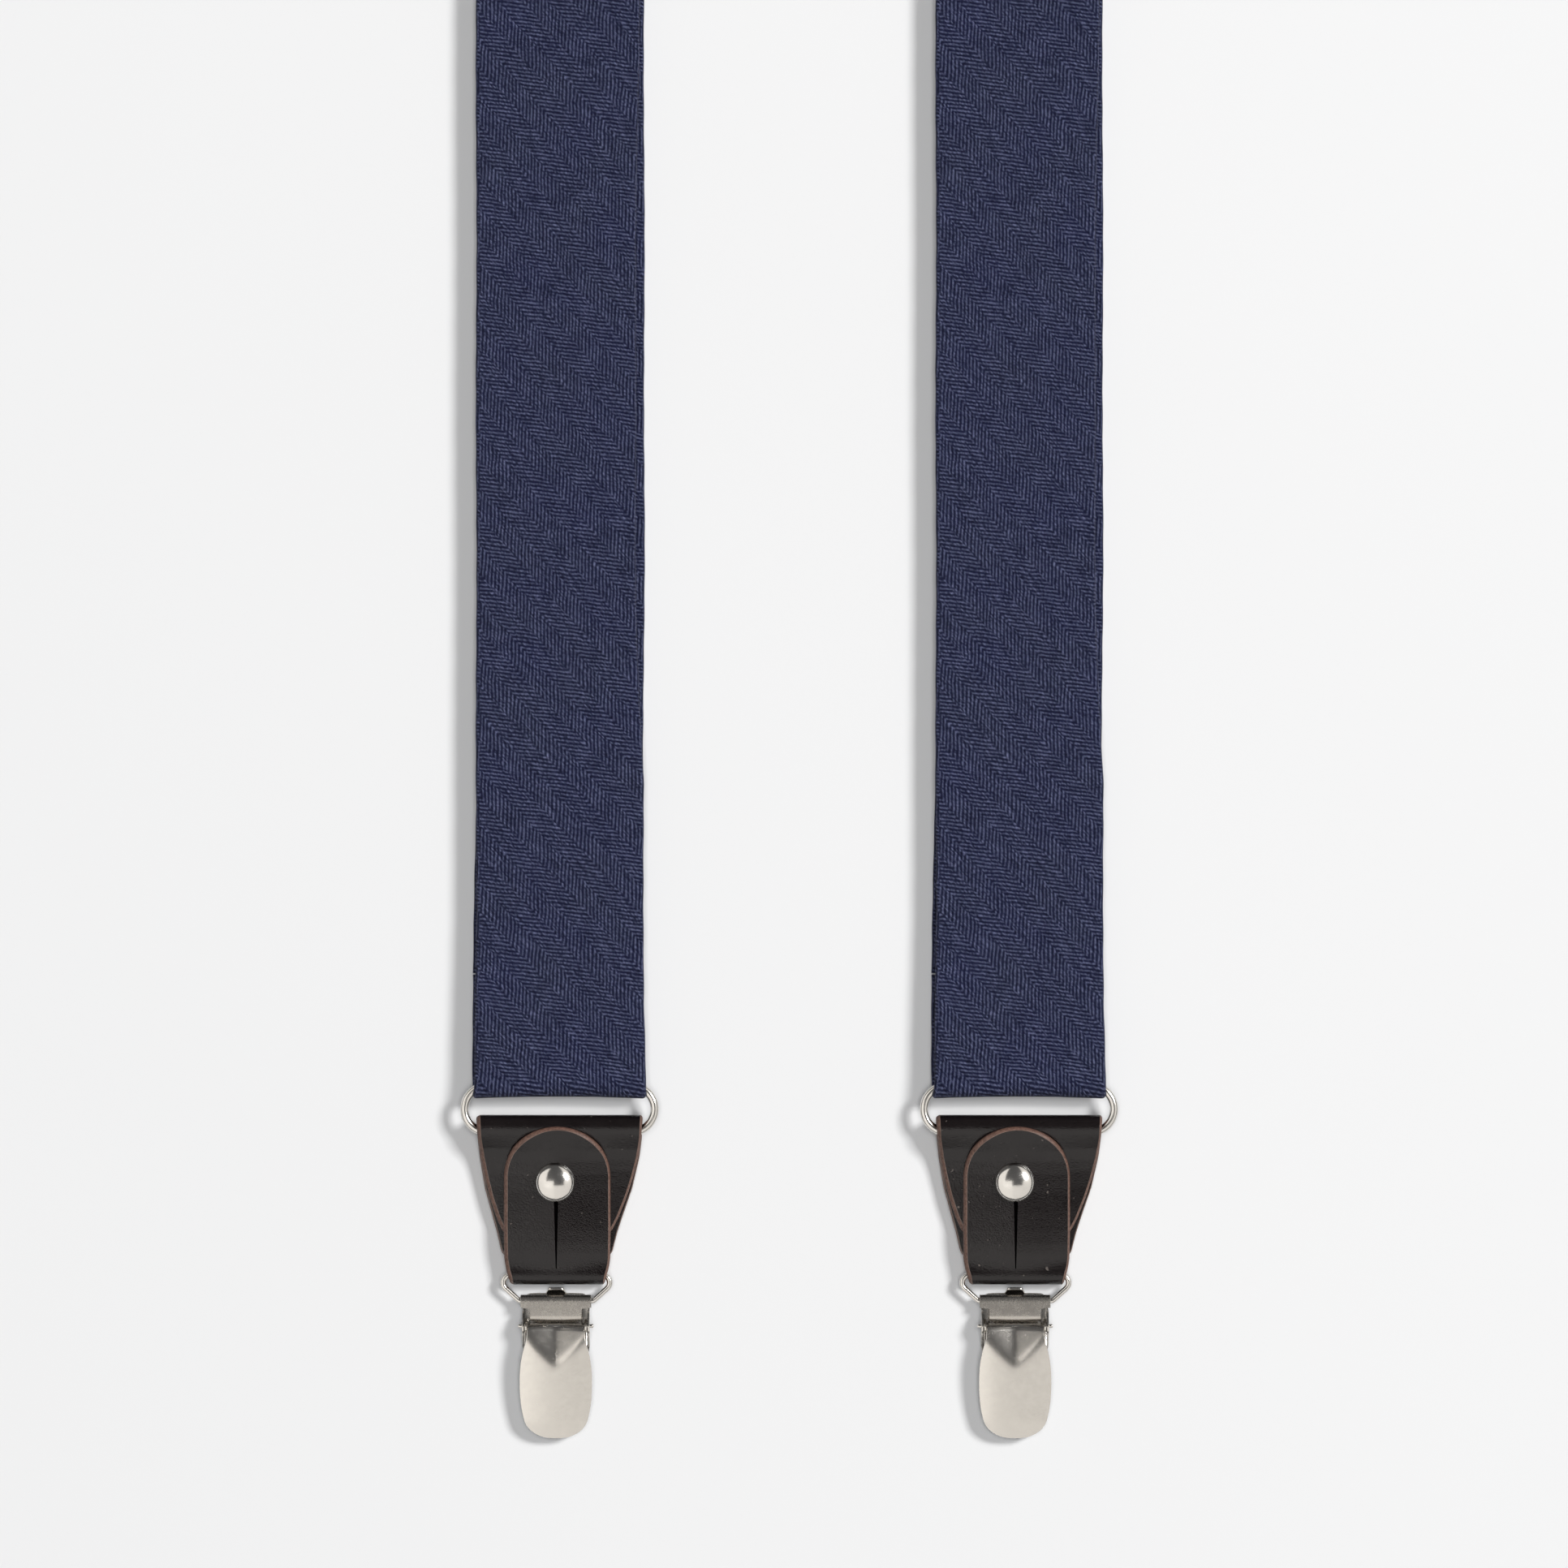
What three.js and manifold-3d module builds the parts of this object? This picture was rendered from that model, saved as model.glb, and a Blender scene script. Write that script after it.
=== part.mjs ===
// Gentleman's suspenders with a Y back, laid out flat, front side up.
// Millimetres, +Z up. The clips of the two front straps point to -Y and the back clip to +Y.
// While the parts are made, Y = 0 is the centre of the front rings and Z = 0 is the table. The whole
// object is moved at the end, so that the origin is the bottom centre of its box.
import * as THREE from "three";
import { mergeVertices } from "three/addons/utils/BufferGeometryUtils.js";
import Module from "manifold-3d";

const wasm = await Module();
wasm.setup();

// ---------------------------------------------------------------- driving dimensions
const FIT = 0.2; // gap left between layers that lie on each other
const SEAM = 0.3; // gap between two pieces of one strap that meet face to face

const STRAP_WIDTH = 35;
const STRAP_THICK = 1.5; // herringbone tube with its interlining, pressed flat
const COVER_WALL = 0.4; // cloth of the tube
const CORE_THICK = 0.4; // interlining
const STRAP_SPACING = 96; // between the centre lines of the two front straps
const STRAIGHT_LENGTH = 355; // ring centre to where a strap starts to lean inwards
const LEAN_RADIUS = 1400; // of the long curve towards the back patch
const LEAN_ANGLE = THREE.MathUtils.degToRad(12);

const RING_ROOM = 6.5; // how much wider the ring is than the strap
const RING_HEIGHT = 11.5; // outside, along the strap
const RING_WIRE = 1.75;
const RING_PLAY = 0.6; // between the wire and the cloth or leather folded round it

const LEATHER = 1.2;
const YOKE_INSET = 0.2; // how much narrower the yoke's fold is than the strap
const YOKE_END_WIDTH = 21.6;
const YOKE_FRONT_LENGTH = 26; // fold to the end of the front flap
const YOKE_BACK_LENGTH = 30;
const YOKE_FOLD_LEAD = 1; // how far the fold stands off the ring's wire

const TAB_WIDTH = 22.3;
const TAB_FOLD_WIDTH = 19.4; // where it bends round the bail
const TAB_TOP = -3.6; // top of the tab's arch, from the ring's centre
const TAB_SHIFT = -0.5; // the tab hangs this far off the strap's centre line
const SLIT_WIDTH = 1.1; // buttonhole below the stud, at its wide end
const SLIT_END_WIDTH = 0.25;
const SLIT_LENGTH = 18;

const STUD_Y = -15.3;
const STUD_SHIFT = -0.4; // from the tab's centre line
const STUD_HEAD = 8.3; // diameter
const STUD_HEIGHT = 2;
const STUD_POST = 4;
const STUD_HOLE_PLAY = 0.3;
const STUD_BASE = 8;
const STUD_BASE_THICK = 0.6;

const BAIL_WIRE = 1.2;
const BAIL_Y = -34.75; // bar in the leather tab
const BAIL_LENGTH = 5.45; // bar to bar
const BAIL_BOTTOM_WIDTH = 15.5; // between the ends of the lower bar
const BAIL_LEG_ANGLE = THREE.MathUtils.degToRad(42); // between a leg and the bars
const BAIL_BEND = 1.65; // radius of the wire's middle at the upper bends
const BAIL_PLAY = 0.25;
const BAIL_SHIFT = -0.7; // the bail hangs this far off the strap's centre line

const CLIP_SHIFT = -0.8; // the clip hangs this far off the strap's centre line
const PLATE = 0.5; // sheet of the jaw, the lever and the ears
const BASE_PLATE = 0.6;
const BASE_WIDTH = 14.2; // over the ears
const BASE_TOP_WIDTH = 12.3;
const BASE_LENGTH = 28.9; // from the bail's lower bar to the lower end
const EAR_START = 1.7; // from the bail's lower bar
const EAR_LENGTH = 8.2;
const EAR_HEIGHT = 5.3;
const TONGUE_WIDTH = 4.4;
const TONGUE_TIP = 3.3;
const TONGUE_LENGTH = 3.1;
const TONGUE_LEAN = THREE.MathUtils.degToRad(66); // from the table
const PIN_OFFSET = 5.2; // from the bail's lower bar
const PIN_Z = 3.95;
const PIN_WIRE = 0.9;
const PIN_LENGTH = 16;
const PIN_PLAY = 0.1;
const JAW_ROLL_WIDTH = 14.8;
const JAW_WIDTH = 10.9;
const JAW_LENGTH = 26.8;
const JAW_LOW_Z = 2.4; // middle of the sheet where it runs under the lever
const PAD_THICK = 0.6;
const PAD_LENGTH = 7;
const PAD_WIDTH = 11;
const LEVER_LIP_WIDTH = 12.1;
const LEVER_WIDTH = 15.1;
const LEVER_LENGTH = 22.9;
const LEVER_CROWN = 6.3; // top of the sheet's middle, above the table
const LUG_RADIUS = 1.5;
const LUG_INSET = 0.35; // between the lever's lugs and the ears

const SLIDER_Y = 280; // centre bar of the adjuster, from the ring's centre
const SLIDER_LENGTH = 16; // between the outer bars
const SLIDER_BAR = 1.2; // centre bar, round
const SLIDER_OUTER_BAR = 1.6;
const SLIDER_RAIL = 1.6;
const SLIDER_TRAVEL = 35; // each way
const END_LOOP_LENGTH = 20; // strap end sewn back on itself round the centre bar

const LEAN_LENGTH = 271; // start of the lean to the edge of the patch
const PATCH_LENGTH = 64;
const PATCH_WIDTH = 84; // where the front straps enter
const PATCH_NECK_WIDTH = 43; // where the elastic leaves
const PATCH_OVERLAP = 42; // elastic inside the patch

const ELASTIC_LENGTH = 190; // patch to the centre of the back ring, relaxed
const ELASTIC_LOOP = 45; // sewn end of the elastic, to the back ring's centre

const ARC_STEPS = 6; // segments in a fold

// ---------------------------------------------------------------- what follows from them
const half = (x) => x / 2;
const ringBar = half(RING_HEIGHT - RING_WIRE); // a bar's centre line, from the ring's centre
const tunnel = half(RING_WIRE) + RING_PLAY; // inside half height of a fold round the ring

const tabBackZ = STUD_BASE_THICK + FIT + half(LEATHER);
const yokeBackZ = tabBackZ + LEATHER + FIT;
const yokeFrontZ = yokeBackZ + LEATHER + FIT;
const tabFrontZ = yokeFrontZ + LEATHER + FIT;
const flapLevel = STUD_Y + half(STUD_HEAD) + 0.9; // the leather lies level from here down
const headZ = tabFrontZ + half(LEATHER) + FIT;
const ringZ = yokeBackZ + half(LEATHER) + tunnel;

const bailFold = half(BAIL_WIRE) + BAIL_PLAY + half(LEATHER); // radius to the leather's middle
const bailZ = tabBackZ + bailFold;
const hingeY = BAIL_Y - BAIL_LENGTH; // the bail's lower bar, on which the clip hangs
const pinY = hingeY - PIN_OFFSET;

const strapFold = tunnel + half(STRAP_THICK);
const ringWidth = STRAP_WIDTH + RING_ROOM;
const bendReach = Math.max(0, half(STRAP_WIDTH) - (half(ringWidth - RING_WIRE) - ringBar));
// The strap's fold clears the bends of the ring.
const foldY = Math.sqrt((ringBar - half(RING_WIRE)) ** 2 - bendReach ** 2) + tunnel - FIT;
const floorZ = half(STRAP_THICK);
const loopFold = half(SLIDER_BAR) + FIT + half(STRAP_THICK);
const sliderBarZ = floorZ + loopFold;
const frontZ = sliderBarZ + loopFold + STRAP_THICK + FIT; // front layer, over the slider's loop
const outerBarZ = frontZ + half(STRAP_THICK) + FIT + half(SLIDER_OUTER_BAR);
const patchStrapZ = LEATHER + FIT + half(STRAP_THICK);
const returnStart = 28; // where the back layer lies on the table, from the ring's centre

const patchStart = STRAIGHT_LENGTH + LEAN_LENGTH;
const patchEnd = patchStart + PATCH_LENGTH;
const backRingY = patchEnd + ELASTIC_LENGTH;

// ---------------------------------------------------------------- solids
// A closed three.js geometry as a solid that can be joined and cut.
function solidOf(geometry) {
  const bare = geometry.index ? geometry.toNonIndexed() : geometry.clone();
  bare.deleteAttribute("normal");
  bare.deleteAttribute("uv");
  const merged = mergeVertices(bare, 1e-4);
  return new wasm.Manifold(
    new wasm.Mesh({
      numProp: 3,
      vertProperties: merged.attributes.position.array,
      triVerts: new Uint32Array(merged.index.array),
    }),
  );
}

function geometryOf(solid) {
  const mesh = solid.getMesh();
  const points = new Float32Array(mesh.numVert * 3);
  for (let i = 0; i < mesh.numVert; i++) {
    points.set(mesh.vertProperties.subarray(i * mesh.numProp, i * mesh.numProp + 3), i * 3);
  }
  const geometry = new THREE.BufferGeometry();
  geometry.setAttribute("position", new THREE.BufferAttribute(points, 3));
  geometry.setIndex(new THREE.BufferAttribute(mesh.triVerts, 1));
  return geometry;
}

const joined = (solids) => solids.reduce((a, b) => a.add(b));

// A shape drawn with Y across and Z up, swept along X about x = centre.
function acrossX(shape, width, centre = 0) {
  const geometry = new THREE.ExtrudeGeometry(shape, { depth: width, bevelEnabled: false });
  const basis = new THREE.Matrix4().makeBasis(
    new THREE.Vector3(0, 1, 0),
    new THREE.Vector3(0, 0, 1),
    new THREE.Vector3(1, 0, 0),
  );
  return solidOf(geometry.applyMatrix4(basis).translate(centre - half(width), 0, 0));
}

// A shape drawn in the plan, X and Y, raised from z = bottom to z = top.
function upright(shape, bottom, top) {
  const options = { depth: top - bottom, bevelEnabled: false };
  return solidOf(new THREE.ExtrudeGeometry(shape, options).translate(0, 0, bottom));
}

// A round bar along X.
function barAlongX(radius, length, x, y, z, sides = 12) {
  const bar = new THREE.CylinderGeometry(radius, radius, length, sides);
  return solidOf(bar.rotateZ(Math.PI / 2).translate(x, y, z));
}

// An upright round bar from z = bottom to z = top.
function post(radius, x, y, bottom, top, sides = 20) {
  const bar = new THREE.CylinderGeometry(radius, radius, top - bottom, sides);
  return solidOf(bar.rotateX(Math.PI / 2).translate(x, y, half(bottom + top)));
}

function box(x0, x1, y0, y1, z0, z1) {
  const block = new THREE.BoxGeometry(x1 - x0, y1 - y0, z1 - z0);
  return solidOf(block.translate(half(x0 + x1), half(y0 + y1), half(z0 + z1)));
}

// A line of points moved sideways, to its left, by a distance.
function beside(points, distance) {
  return points.map((p, i) => {
    const before = points[Math.max(i - 1, 0)];
    const after = points[Math.min(i + 1, points.length - 1)];
    const into = new THREE.Vector2().subVectors(p, before).normalize();
    const out = new THREE.Vector2().subVectors(after, p).normalize();
    const along = new THREE.Vector2().addVectors(into, out).normalize();
    const reach = distance / Math.max(along.dot(i ? into : out), 0.5);
    return new THREE.Vector2(-along.y, along.x).multiplyScalar(reach).add(p);
  });
}

// A flat band of the given thickness along a line of points, as a closed shape.
function band(points, thickness) {
  const outline = [
    ...beside(points, half(thickness)),
    ...beside(points, -half(thickness)).reverse(),
  ];
  return new THREE.Shape(THREE.ShapeUtils.isClockWise(outline) ? outline.reverse() : outline);
}

const at = (a, b) => new THREE.Vector2(a, b);

// Points of an arc about (y, z), with the angles in degrees.
function arc(y, z, radius, from, to, steps = ARC_STEPS) {
  return Array.from({ length: steps + 1 }, (_, i) => {
    const angle = THREE.MathUtils.degToRad(from + ((to - from) * i) / steps);
    return at(y + radius * Math.cos(angle), z + radius * Math.sin(angle));
  });
}

// A closed outline from the right half of a plan, listed from top to bottom.
function mirrored(right) {
  const left = right.map((p) => at(-p.x, p.y)).reverse();
  return new THREE.Shape([...left, ...right].filter((p, i, all) => !i || !p.equals(all[i - 1])));
}

// A closed wire whose centre line is a flat loop with rounded corners.
function wireLoop(corners, radii, wire, z, steps, sides = 6) {
  const path = new THREE.CurvePath();
  const legs = corners.map((corner, i) => {
    const before = corners.at(i - 1);
    const after = corners[(i + 1) % corners.length];
    const a = new THREE.Vector3().subVectors(before, corner).normalize();
    const b = new THREE.Vector3().subVectors(after, corner).normalize();
    const reach = radii[i] / Math.tan(half(a.angleTo(b)));
    return { corner, start: a.multiplyScalar(reach).add(corner), end: b.multiplyScalar(reach).add(corner) };
  });
  legs.forEach((leg, i) => {
    const next = legs[(i + 1) % legs.length];
    const centre = new THREE.Vector3().addVectors(leg.start, leg.end).multiplyScalar(0.5).sub(leg.corner);
    const radius = radii[i];
    const distance = Math.hypot(radius, leg.start.distanceTo(leg.corner));
    centre.normalize().multiplyScalar(distance).add(leg.corner);
    const from = leg.start.clone().sub(centre);
    const turn = from.angleTo(leg.end.clone().sub(centre));
    const spin = new THREE.Vector3().crossVectors(from, leg.end.clone().sub(centre)).normalize();
    const bend = new THREE.Curve();
    bend.getPoint = (t) => from.clone().applyAxisAngle(spin, turn * t).add(centre);
    path.add(bend);
    path.add(new THREE.LineCurve3(leg.end, next.start));
  });
  const tube = new THREE.TubeGeometry(path, steps, half(wire), sides, true);
  return solidOf(tube.translate(0, 0, z));
}

// ---------------------------------------------------------------- finishes
const finish = (color, roughness, metalness) =>
  new THREE.MeshStandardMaterial({ color, roughness, metalness });
const herringbone = finish(0x333852, 0.85, 0);
const interlining = finish(0xd8d2c4, 0.9, 0);
const elasticCloth = finish(0x2a2f4a, 0.85, 0);
const leather = finish(0x2a2524, 0.45, 0);
const nickel = finish(0xc9c6c0, 0.2, 1);
const satinNickel = finish(0xd0cac1, 0.35, 1);
const gripPlastic = finish(0xe6e3da, 0.5, 0);

const suspenders = new THREE.Group();

function add(group, name, solid, material) {
  const mesh = new THREE.Mesh(geometryOf(solid), material);
  mesh.name = name;
  group.add(mesh);
}

// ---------------------------------------------------------------- cloth round a ring
// The line of a strap's middle, folded round the ring's upper bar: from the front layer, down to the back.
const foldAtRing = () => arc(foldY, ringZ, strapFold, 90, 270);

// ---------------------------------------------------------------- front straps
// The front layer in Y and Z, from the start of the lean down to the ring and round to the back layer.
function frontStrapLine() {
  const slope = 24; // length over which the layer comes down behind the slider
  const flat = 3;
  return [
    at(STRAIGHT_LENGTH, patchStrapZ),
    at(STRAIGHT_LENGTH - flat, patchStrapZ),
    at(STRAIGHT_LENGTH - flat - slope, frontZ),
    at(40, frontZ),
    ...foldAtRing(),
    at(14, half(ringZ - strapFold + floorZ)),
    at(returnStart - flat, floorZ),
    at(returnStart, floorZ),
  ];
}

// The strap's plan beyond the straight part: an arc that leans towards the centre line by the lean angle.
function leanShape(width, ahead, behind) {
  const steps = 10;
  const centre = at(half(STRAP_SPACING) - LEAN_RADIUS, STRAIGHT_LENGTH);
  const from = -behind / LEAN_RADIUS;
  const to = LEAN_ANGLE + ahead / LEAN_RADIUS;
  const line = Array.from({ length: steps + 1 }, (_, i) => {
    const angle = from + ((to - from) * i) / steps;
    return at(centre.x + LEAN_RADIUS * Math.cos(angle), centre.y + LEAN_RADIUS * Math.sin(angle));
  });
  return band(line, width);
}

// One front strap, or what is inside it: a ribbon that lies along the whole strap, on the right-hand side.
function frontStrapRibbon(width, thickness, past) {
  const line = frontStrapLine();
  const last = line.at(-1);
  line.push(at(last.x + past, last.y));
  if (!past) line.pop();
  const straight = acrossX(band(line, thickness), width, half(STRAP_SPACING));
  const join = 0.5; // the two parts run into each other by this much
  const lean = upright(
    leanShape(width, past, join),
    patchStrapZ - half(thickness),
    patchStrapZ + half(thickness),
  );
  return straight.add(lean);
}

function frontStraps() {
  const hollow = frontStrapRibbon(STRAP_WIDTH - 2 * COVER_WALL, STRAP_THICK - 2 * COVER_WALL, 2);
  const cover = frontStrapRibbon(STRAP_WIDTH, STRAP_THICK, 0).subtract(hollow);
  const coreWidth = STRAP_WIDTH - 2 * COVER_WALL - 2 * FIT;
  const core = frontStrapRibbon(coreWidth, CORE_THICK, 0);
  const returnLine = [at(returnStart + SEAM, floorZ), at(SLIDER_Y - END_LOOP_LENGTH - SEAM, floorZ)];
  const back = acrossX(band(returnLine, STRAP_THICK), STRAP_WIDTH, half(STRAP_SPACING));
  for (const [side, sign] of [["left", -1], ["right", 1]]) {
    const placed = (solid) => (sign > 0 ? solid : solid.mirror([1, 0, 0]));
    add(suspenders, `front_strap_cover_${side}`, placed(cover), herringbone);
    add(suspenders, `front_strap_interlining_${side}`, placed(core), interlining);
    add(suspenders, `front_strap_return_${side}`, placed(back), herringbone);
    slider(side, sign * half(STRAP_SPACING));
  }
}

// ---------------------------------------------------------------- length adjuster
function slider(side, x) {
  const group = new THREE.Group();
  group.position.set(x, SLIDER_Y, 0);
  suspenders.add(group);

  const outer = half(SLIDER_LENGTH);
  const railX = half(STRAP_WIDTH) + RING_PLAY + half(SLIDER_RAIL);
  const rise = outerBarZ - sliderBarZ;
  const curve = new THREE.CatmullRomCurve3([
    new THREE.Vector3(-outer, outerBarZ, 0),
    new THREE.Vector3(-half(outer), sliderBarZ + rise * 0.4, 0),
    new THREE.Vector3(0, sliderBarZ, 0),
    new THREE.Vector3(half(outer), sliderBarZ + rise * 0.4, 0),
    new THREE.Vector3(outer, outerBarZ, 0),
  ]);
  const line = curve.getPoints(12).map((p) => at(p.x, p.y));
  const rail = band(line, SLIDER_BAR);
  const barLength = 2 * railX;
  const frame = joined([
    acrossX(rail, SLIDER_RAIL, -railX),
    acrossX(rail, SLIDER_RAIL, railX),
    barAlongX(half(SLIDER_BAR), barLength, 0, 0, sliderBarZ),
    barAlongX(half(SLIDER_OUTER_BAR), barLength + SLIDER_RAIL, 0, -outer, outerBarZ),
    barAlongX(half(SLIDER_OUTER_BAR), barLength + SLIDER_RAIL, 0, outer, outerBarZ),
  ]);
  add(group, `slider_frame_${side}`, frame, nickel);

  const doubledZ = floorZ + STRAP_THICK + FIT;
  const loopLine = [
    at(-END_LOOP_LENGTH, floorZ),
    ...arc(0, sliderBarZ, loopFold, -90, 90),
    at(-half(END_LOOP_LENGTH), doubledZ),
    at(-END_LOOP_LENGTH, doubledZ),
  ];
  const loop = acrossX(band(loopLine, STRAP_THICK), STRAP_WIDTH);
  add(group, `slider_strap_end_${side}`, loop, herringbone);
}

// ---------------------------------------------------------------- back patch and elastic
function patchShape() {
  const wide = half(PATCH_WIDTH);
  const neck = half(PATCH_NECK_WIDTH);
  const corner = 6;
  const right = [
    ...new THREE.QuadraticBezierCurve(
      at(neck - corner, patchEnd),
      at(neck, patchEnd),
      at(neck, patchEnd - corner),
    ).getPoints(4),
    ...new THREE.CubicBezierCurve(
      at(neck, patchEnd - PATCH_LENGTH * 0.3),
      at(neck, patchEnd - PATCH_LENGTH * 0.6),
      at(wide, patchStart + PATCH_LENGTH * 0.35),
      at(wide, patchStart + corner),
    ).getPoints(8),
    ...new THREE.QuadraticBezierCurve(
      at(wide, patchStart + corner),
      at(wide, patchStart),
      at(wide - corner, patchStart),
    ).getPoints(4).slice(1),
    at(0, patchStart + corner),
  ];
  return mirrored(right);
}

function backPatch() {
  const top = patchStrapZ + half(STRAP_THICK) + FIT;
  add(suspenders, "back_patch_under", upright(patchShape(), 0, LEATHER), leather);
  add(suspenders, "back_patch_top", upright(patchShape(), top, top + LEATHER), leather);
}

function backElastic() {
  const start = patchEnd - PATCH_OVERLAP;
  const end = backRingY - ELASTIC_LOOP;
  const line = [at(start, patchStrapZ), at(end, patchStrapZ)];
  const run = acrossX(band(line, STRAP_THICK), STRAP_WIDTH);
  add(suspenders, "back_elastic", run, elasticCloth);

  const group = new THREE.Group();
  group.position.y = backRingY;
  group.rotation.z = Math.PI;
  suspenders.add(group);
  const doubledZ = floorZ + STRAP_THICK + FIT;
  const slope = 20;
  const loopLine = [
    at(ELASTIC_LOOP - SEAM, patchStrapZ),
    at(ELASTIC_LOOP - 3, patchStrapZ),
    at(ringBar + slope + 8, doubledZ),
    at(ringBar + slope, doubledZ + FIT),
    ...foldAtRing(),
    at(ringBar + half(slope), half(ringZ - strapFold + floorZ)),
    at(ringBar + slope, floorZ),
    at(ringBar + slope + 8, floorZ),
  ];
  const loop = acrossX(band(loopLine, STRAP_THICK), STRAP_WIDTH);
  add(group, "back_elastic_end", loop, elasticCloth);
}

// ---------------------------------------------------------------- ring and leather
function ring() {
  const x = half(ringWidth - RING_WIRE);
  const corners = [
    [-x, ringBar],
    [x, ringBar],
    [x, -ringBar],
    [-x, -ringBar],
  ].map(([a, b]) => new THREE.Vector3(a, b, 0));
  const radii = corners.map(() => ringBar * 0.999);
  return wireLoop(corners, radii, RING_WIRE, ringZ, 40);
}

// The right-hand edge of a leather yoke, from the fold down to the end of a flap.
function yokeShape(length) {
  const top = -ringBar + YOKE_FOLD_LEAD + tunnel + LEATHER;
  const wide = half(STRAP_WIDTH - YOKE_INSET);
  const narrow = half(YOKE_END_WIDTH);
  const edge = new THREE.CubicBezierCurve(
    at(wide, top),
    at(wide, top - length * 0.45),
    at(narrow + (wide - narrow) * 0.5, top - length * 0.8),
    at(narrow, top - length),
  );
  return mirrored(edge.getPoints(8));
}

const yokeFold = -ringBar + YOKE_FOLD_LEAD;
const beyond = yokeFold - 40; // the flaps are cut to length by their outlines

// The middle of the yoke's front flap in Y and Z, from below up to the top of its fold.
const yokeFrontLine = () => [
  at(beyond, yokeFrontZ),
  at(flapLevel, yokeFrontZ),
  ...arc(yokeFold, ringZ, tunnel + half(LEATHER), 115, 90, 2),
];

function yoke() {
  const line = [
    ...yokeFrontLine(),
    ...arc(yokeFold, ringZ, tunnel + half(LEATHER), 90, -90).slice(1),
    at(beyond, yokeBackZ),
  ];
  const strip = acrossX(band(line, LEATHER), STRAP_WIDTH * 2);
  const middle = half(yokeFrontZ + yokeBackZ);
  const high = strip.intersect(upright(yokeShape(YOKE_FRONT_LENGTH), middle, 12));
  const low = strip.intersect(upright(yokeShape(YOKE_BACK_LENGTH), -1, middle));
  return high.add(low).subtract(studHole());
}

const studX = TAB_SHIFT + STUD_SHIFT;
const studHole = () => post(half(STUD_POST) + STUD_HOLE_PLAY, studX, STUD_Y, -1, 12);

function tabShape() {
  const radius = half(TAB_WIDTH);
  const lower = half(TAB_FOLD_WIDTH);
  const end = BAIL_Y - bailFold - LEATHER;
  const arch = arc(0, TAB_TOP - radius, radius, 90, 0, 9);
  const flare = at(half(radius + lower) + 0.2, BAIL_Y + 3);
  return mirrored([...arch, at(radius, BAIL_Y + 7), flare, at(lower, BAIL_Y + 0.6), at(lower, end)]);
}

function tab() {
  const overYoke = yokeFold + tunnel + LEATHER - YOKE_FRONT_LENGTH - 1;
  const overlay = beside(yokeFrontLine(), LEATHER + FIT).slice(1).reverse();
  const line = [
    at(TAB_TOP + 1, overlay[0].y),
    ...overlay,
    at(overYoke, tabFrontZ),
    ...arc(BAIL_Y, bailZ, bailFold, 90, 270),
    at(TAB_TOP + 1, tabBackZ),
  ];
  const strip = acrossX(band(line, LEATHER), TAB_WIDTH * 2);
  const slitX = STUD_SHIFT;
  const slitEnd = STUD_Y - SLIT_LENGTH;
  const slit = new THREE.Shape([
    at(slitX - half(SLIT_WIDTH), STUD_Y),
    at(slitX - half(SLIT_END_WIDTH), slitEnd),
    at(slitX + half(SLIT_END_WIDTH), slitEnd),
    at(slitX + half(SLIT_WIDTH), STUD_Y),
  ]);
  const cut = upright(slit, bailZ + half(BAIL_WIRE), 12);
  const shaped = strip.intersect(upright(tabShape(), -1, 12)).subtract(cut);
  return shaped.translate([TAB_SHIFT, 0, 0]).subtract(studHole());
}

// The stud's domed head and its post, turned about the post's axis.
function stud() {
  const r = half(STUD_HEAD);
  const rim = 0.4;
  const dome = arc(0, headZ + rim, 1, 0, 90, 6).map((p) =>
    at(p.x * r, headZ + rim + (p.y - headZ - rim) * (STUD_HEIGHT - rim)),
  );
  dome[dome.length - 1].x = 0;
  const profile = [
    at(0, STUD_BASE_THICK + SEAM),
    at(half(STUD_POST), STUD_BASE_THICK + SEAM),
    at(half(STUD_POST), headZ),
    at(r, headZ),
    ...dome,
  ];
  const turned = new THREE.LatheGeometry(profile, 18).rotateX(Math.PI / 2);
  return solidOf(turned.translate(studX, STUD_Y, 0));
}

const studBase = () => post(half(STUD_BASE), studX, STUD_Y, 0, STUD_BASE_THICK);

// ---------------------------------------------------------------- clip
function bail() {
  const low = half(BAIL_BOTTOM_WIDTH);
  const top = low + BAIL_LENGTH / Math.tan(BAIL_LEG_ANGLE);
  const corners = [
    [-top, BAIL_Y],
    [top, BAIL_Y],
    [low, hingeY],
    [-low, hingeY],
  ].map(([a, b]) => new THREE.Vector3(a, b, 0));
  const radii = [BAIL_BEND, BAIL_BEND, half(BAIL_BEND), half(BAIL_BEND)];
  return wireLoop(corners, radii, BAIL_WIRE, bailZ, 36).translate([BAIL_SHIFT, 0, 0]);
}

const rollRadius = half(BAIL_WIRE) + FIT + half(PLATE); // of the jaw's roll, to the sheet's middle
const pinHole = () => barAlongX(half(PIN_WIRE) + PIN_PLAY, PIN_LENGTH, 0, pinY, PIN_Z, 16);

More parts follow.
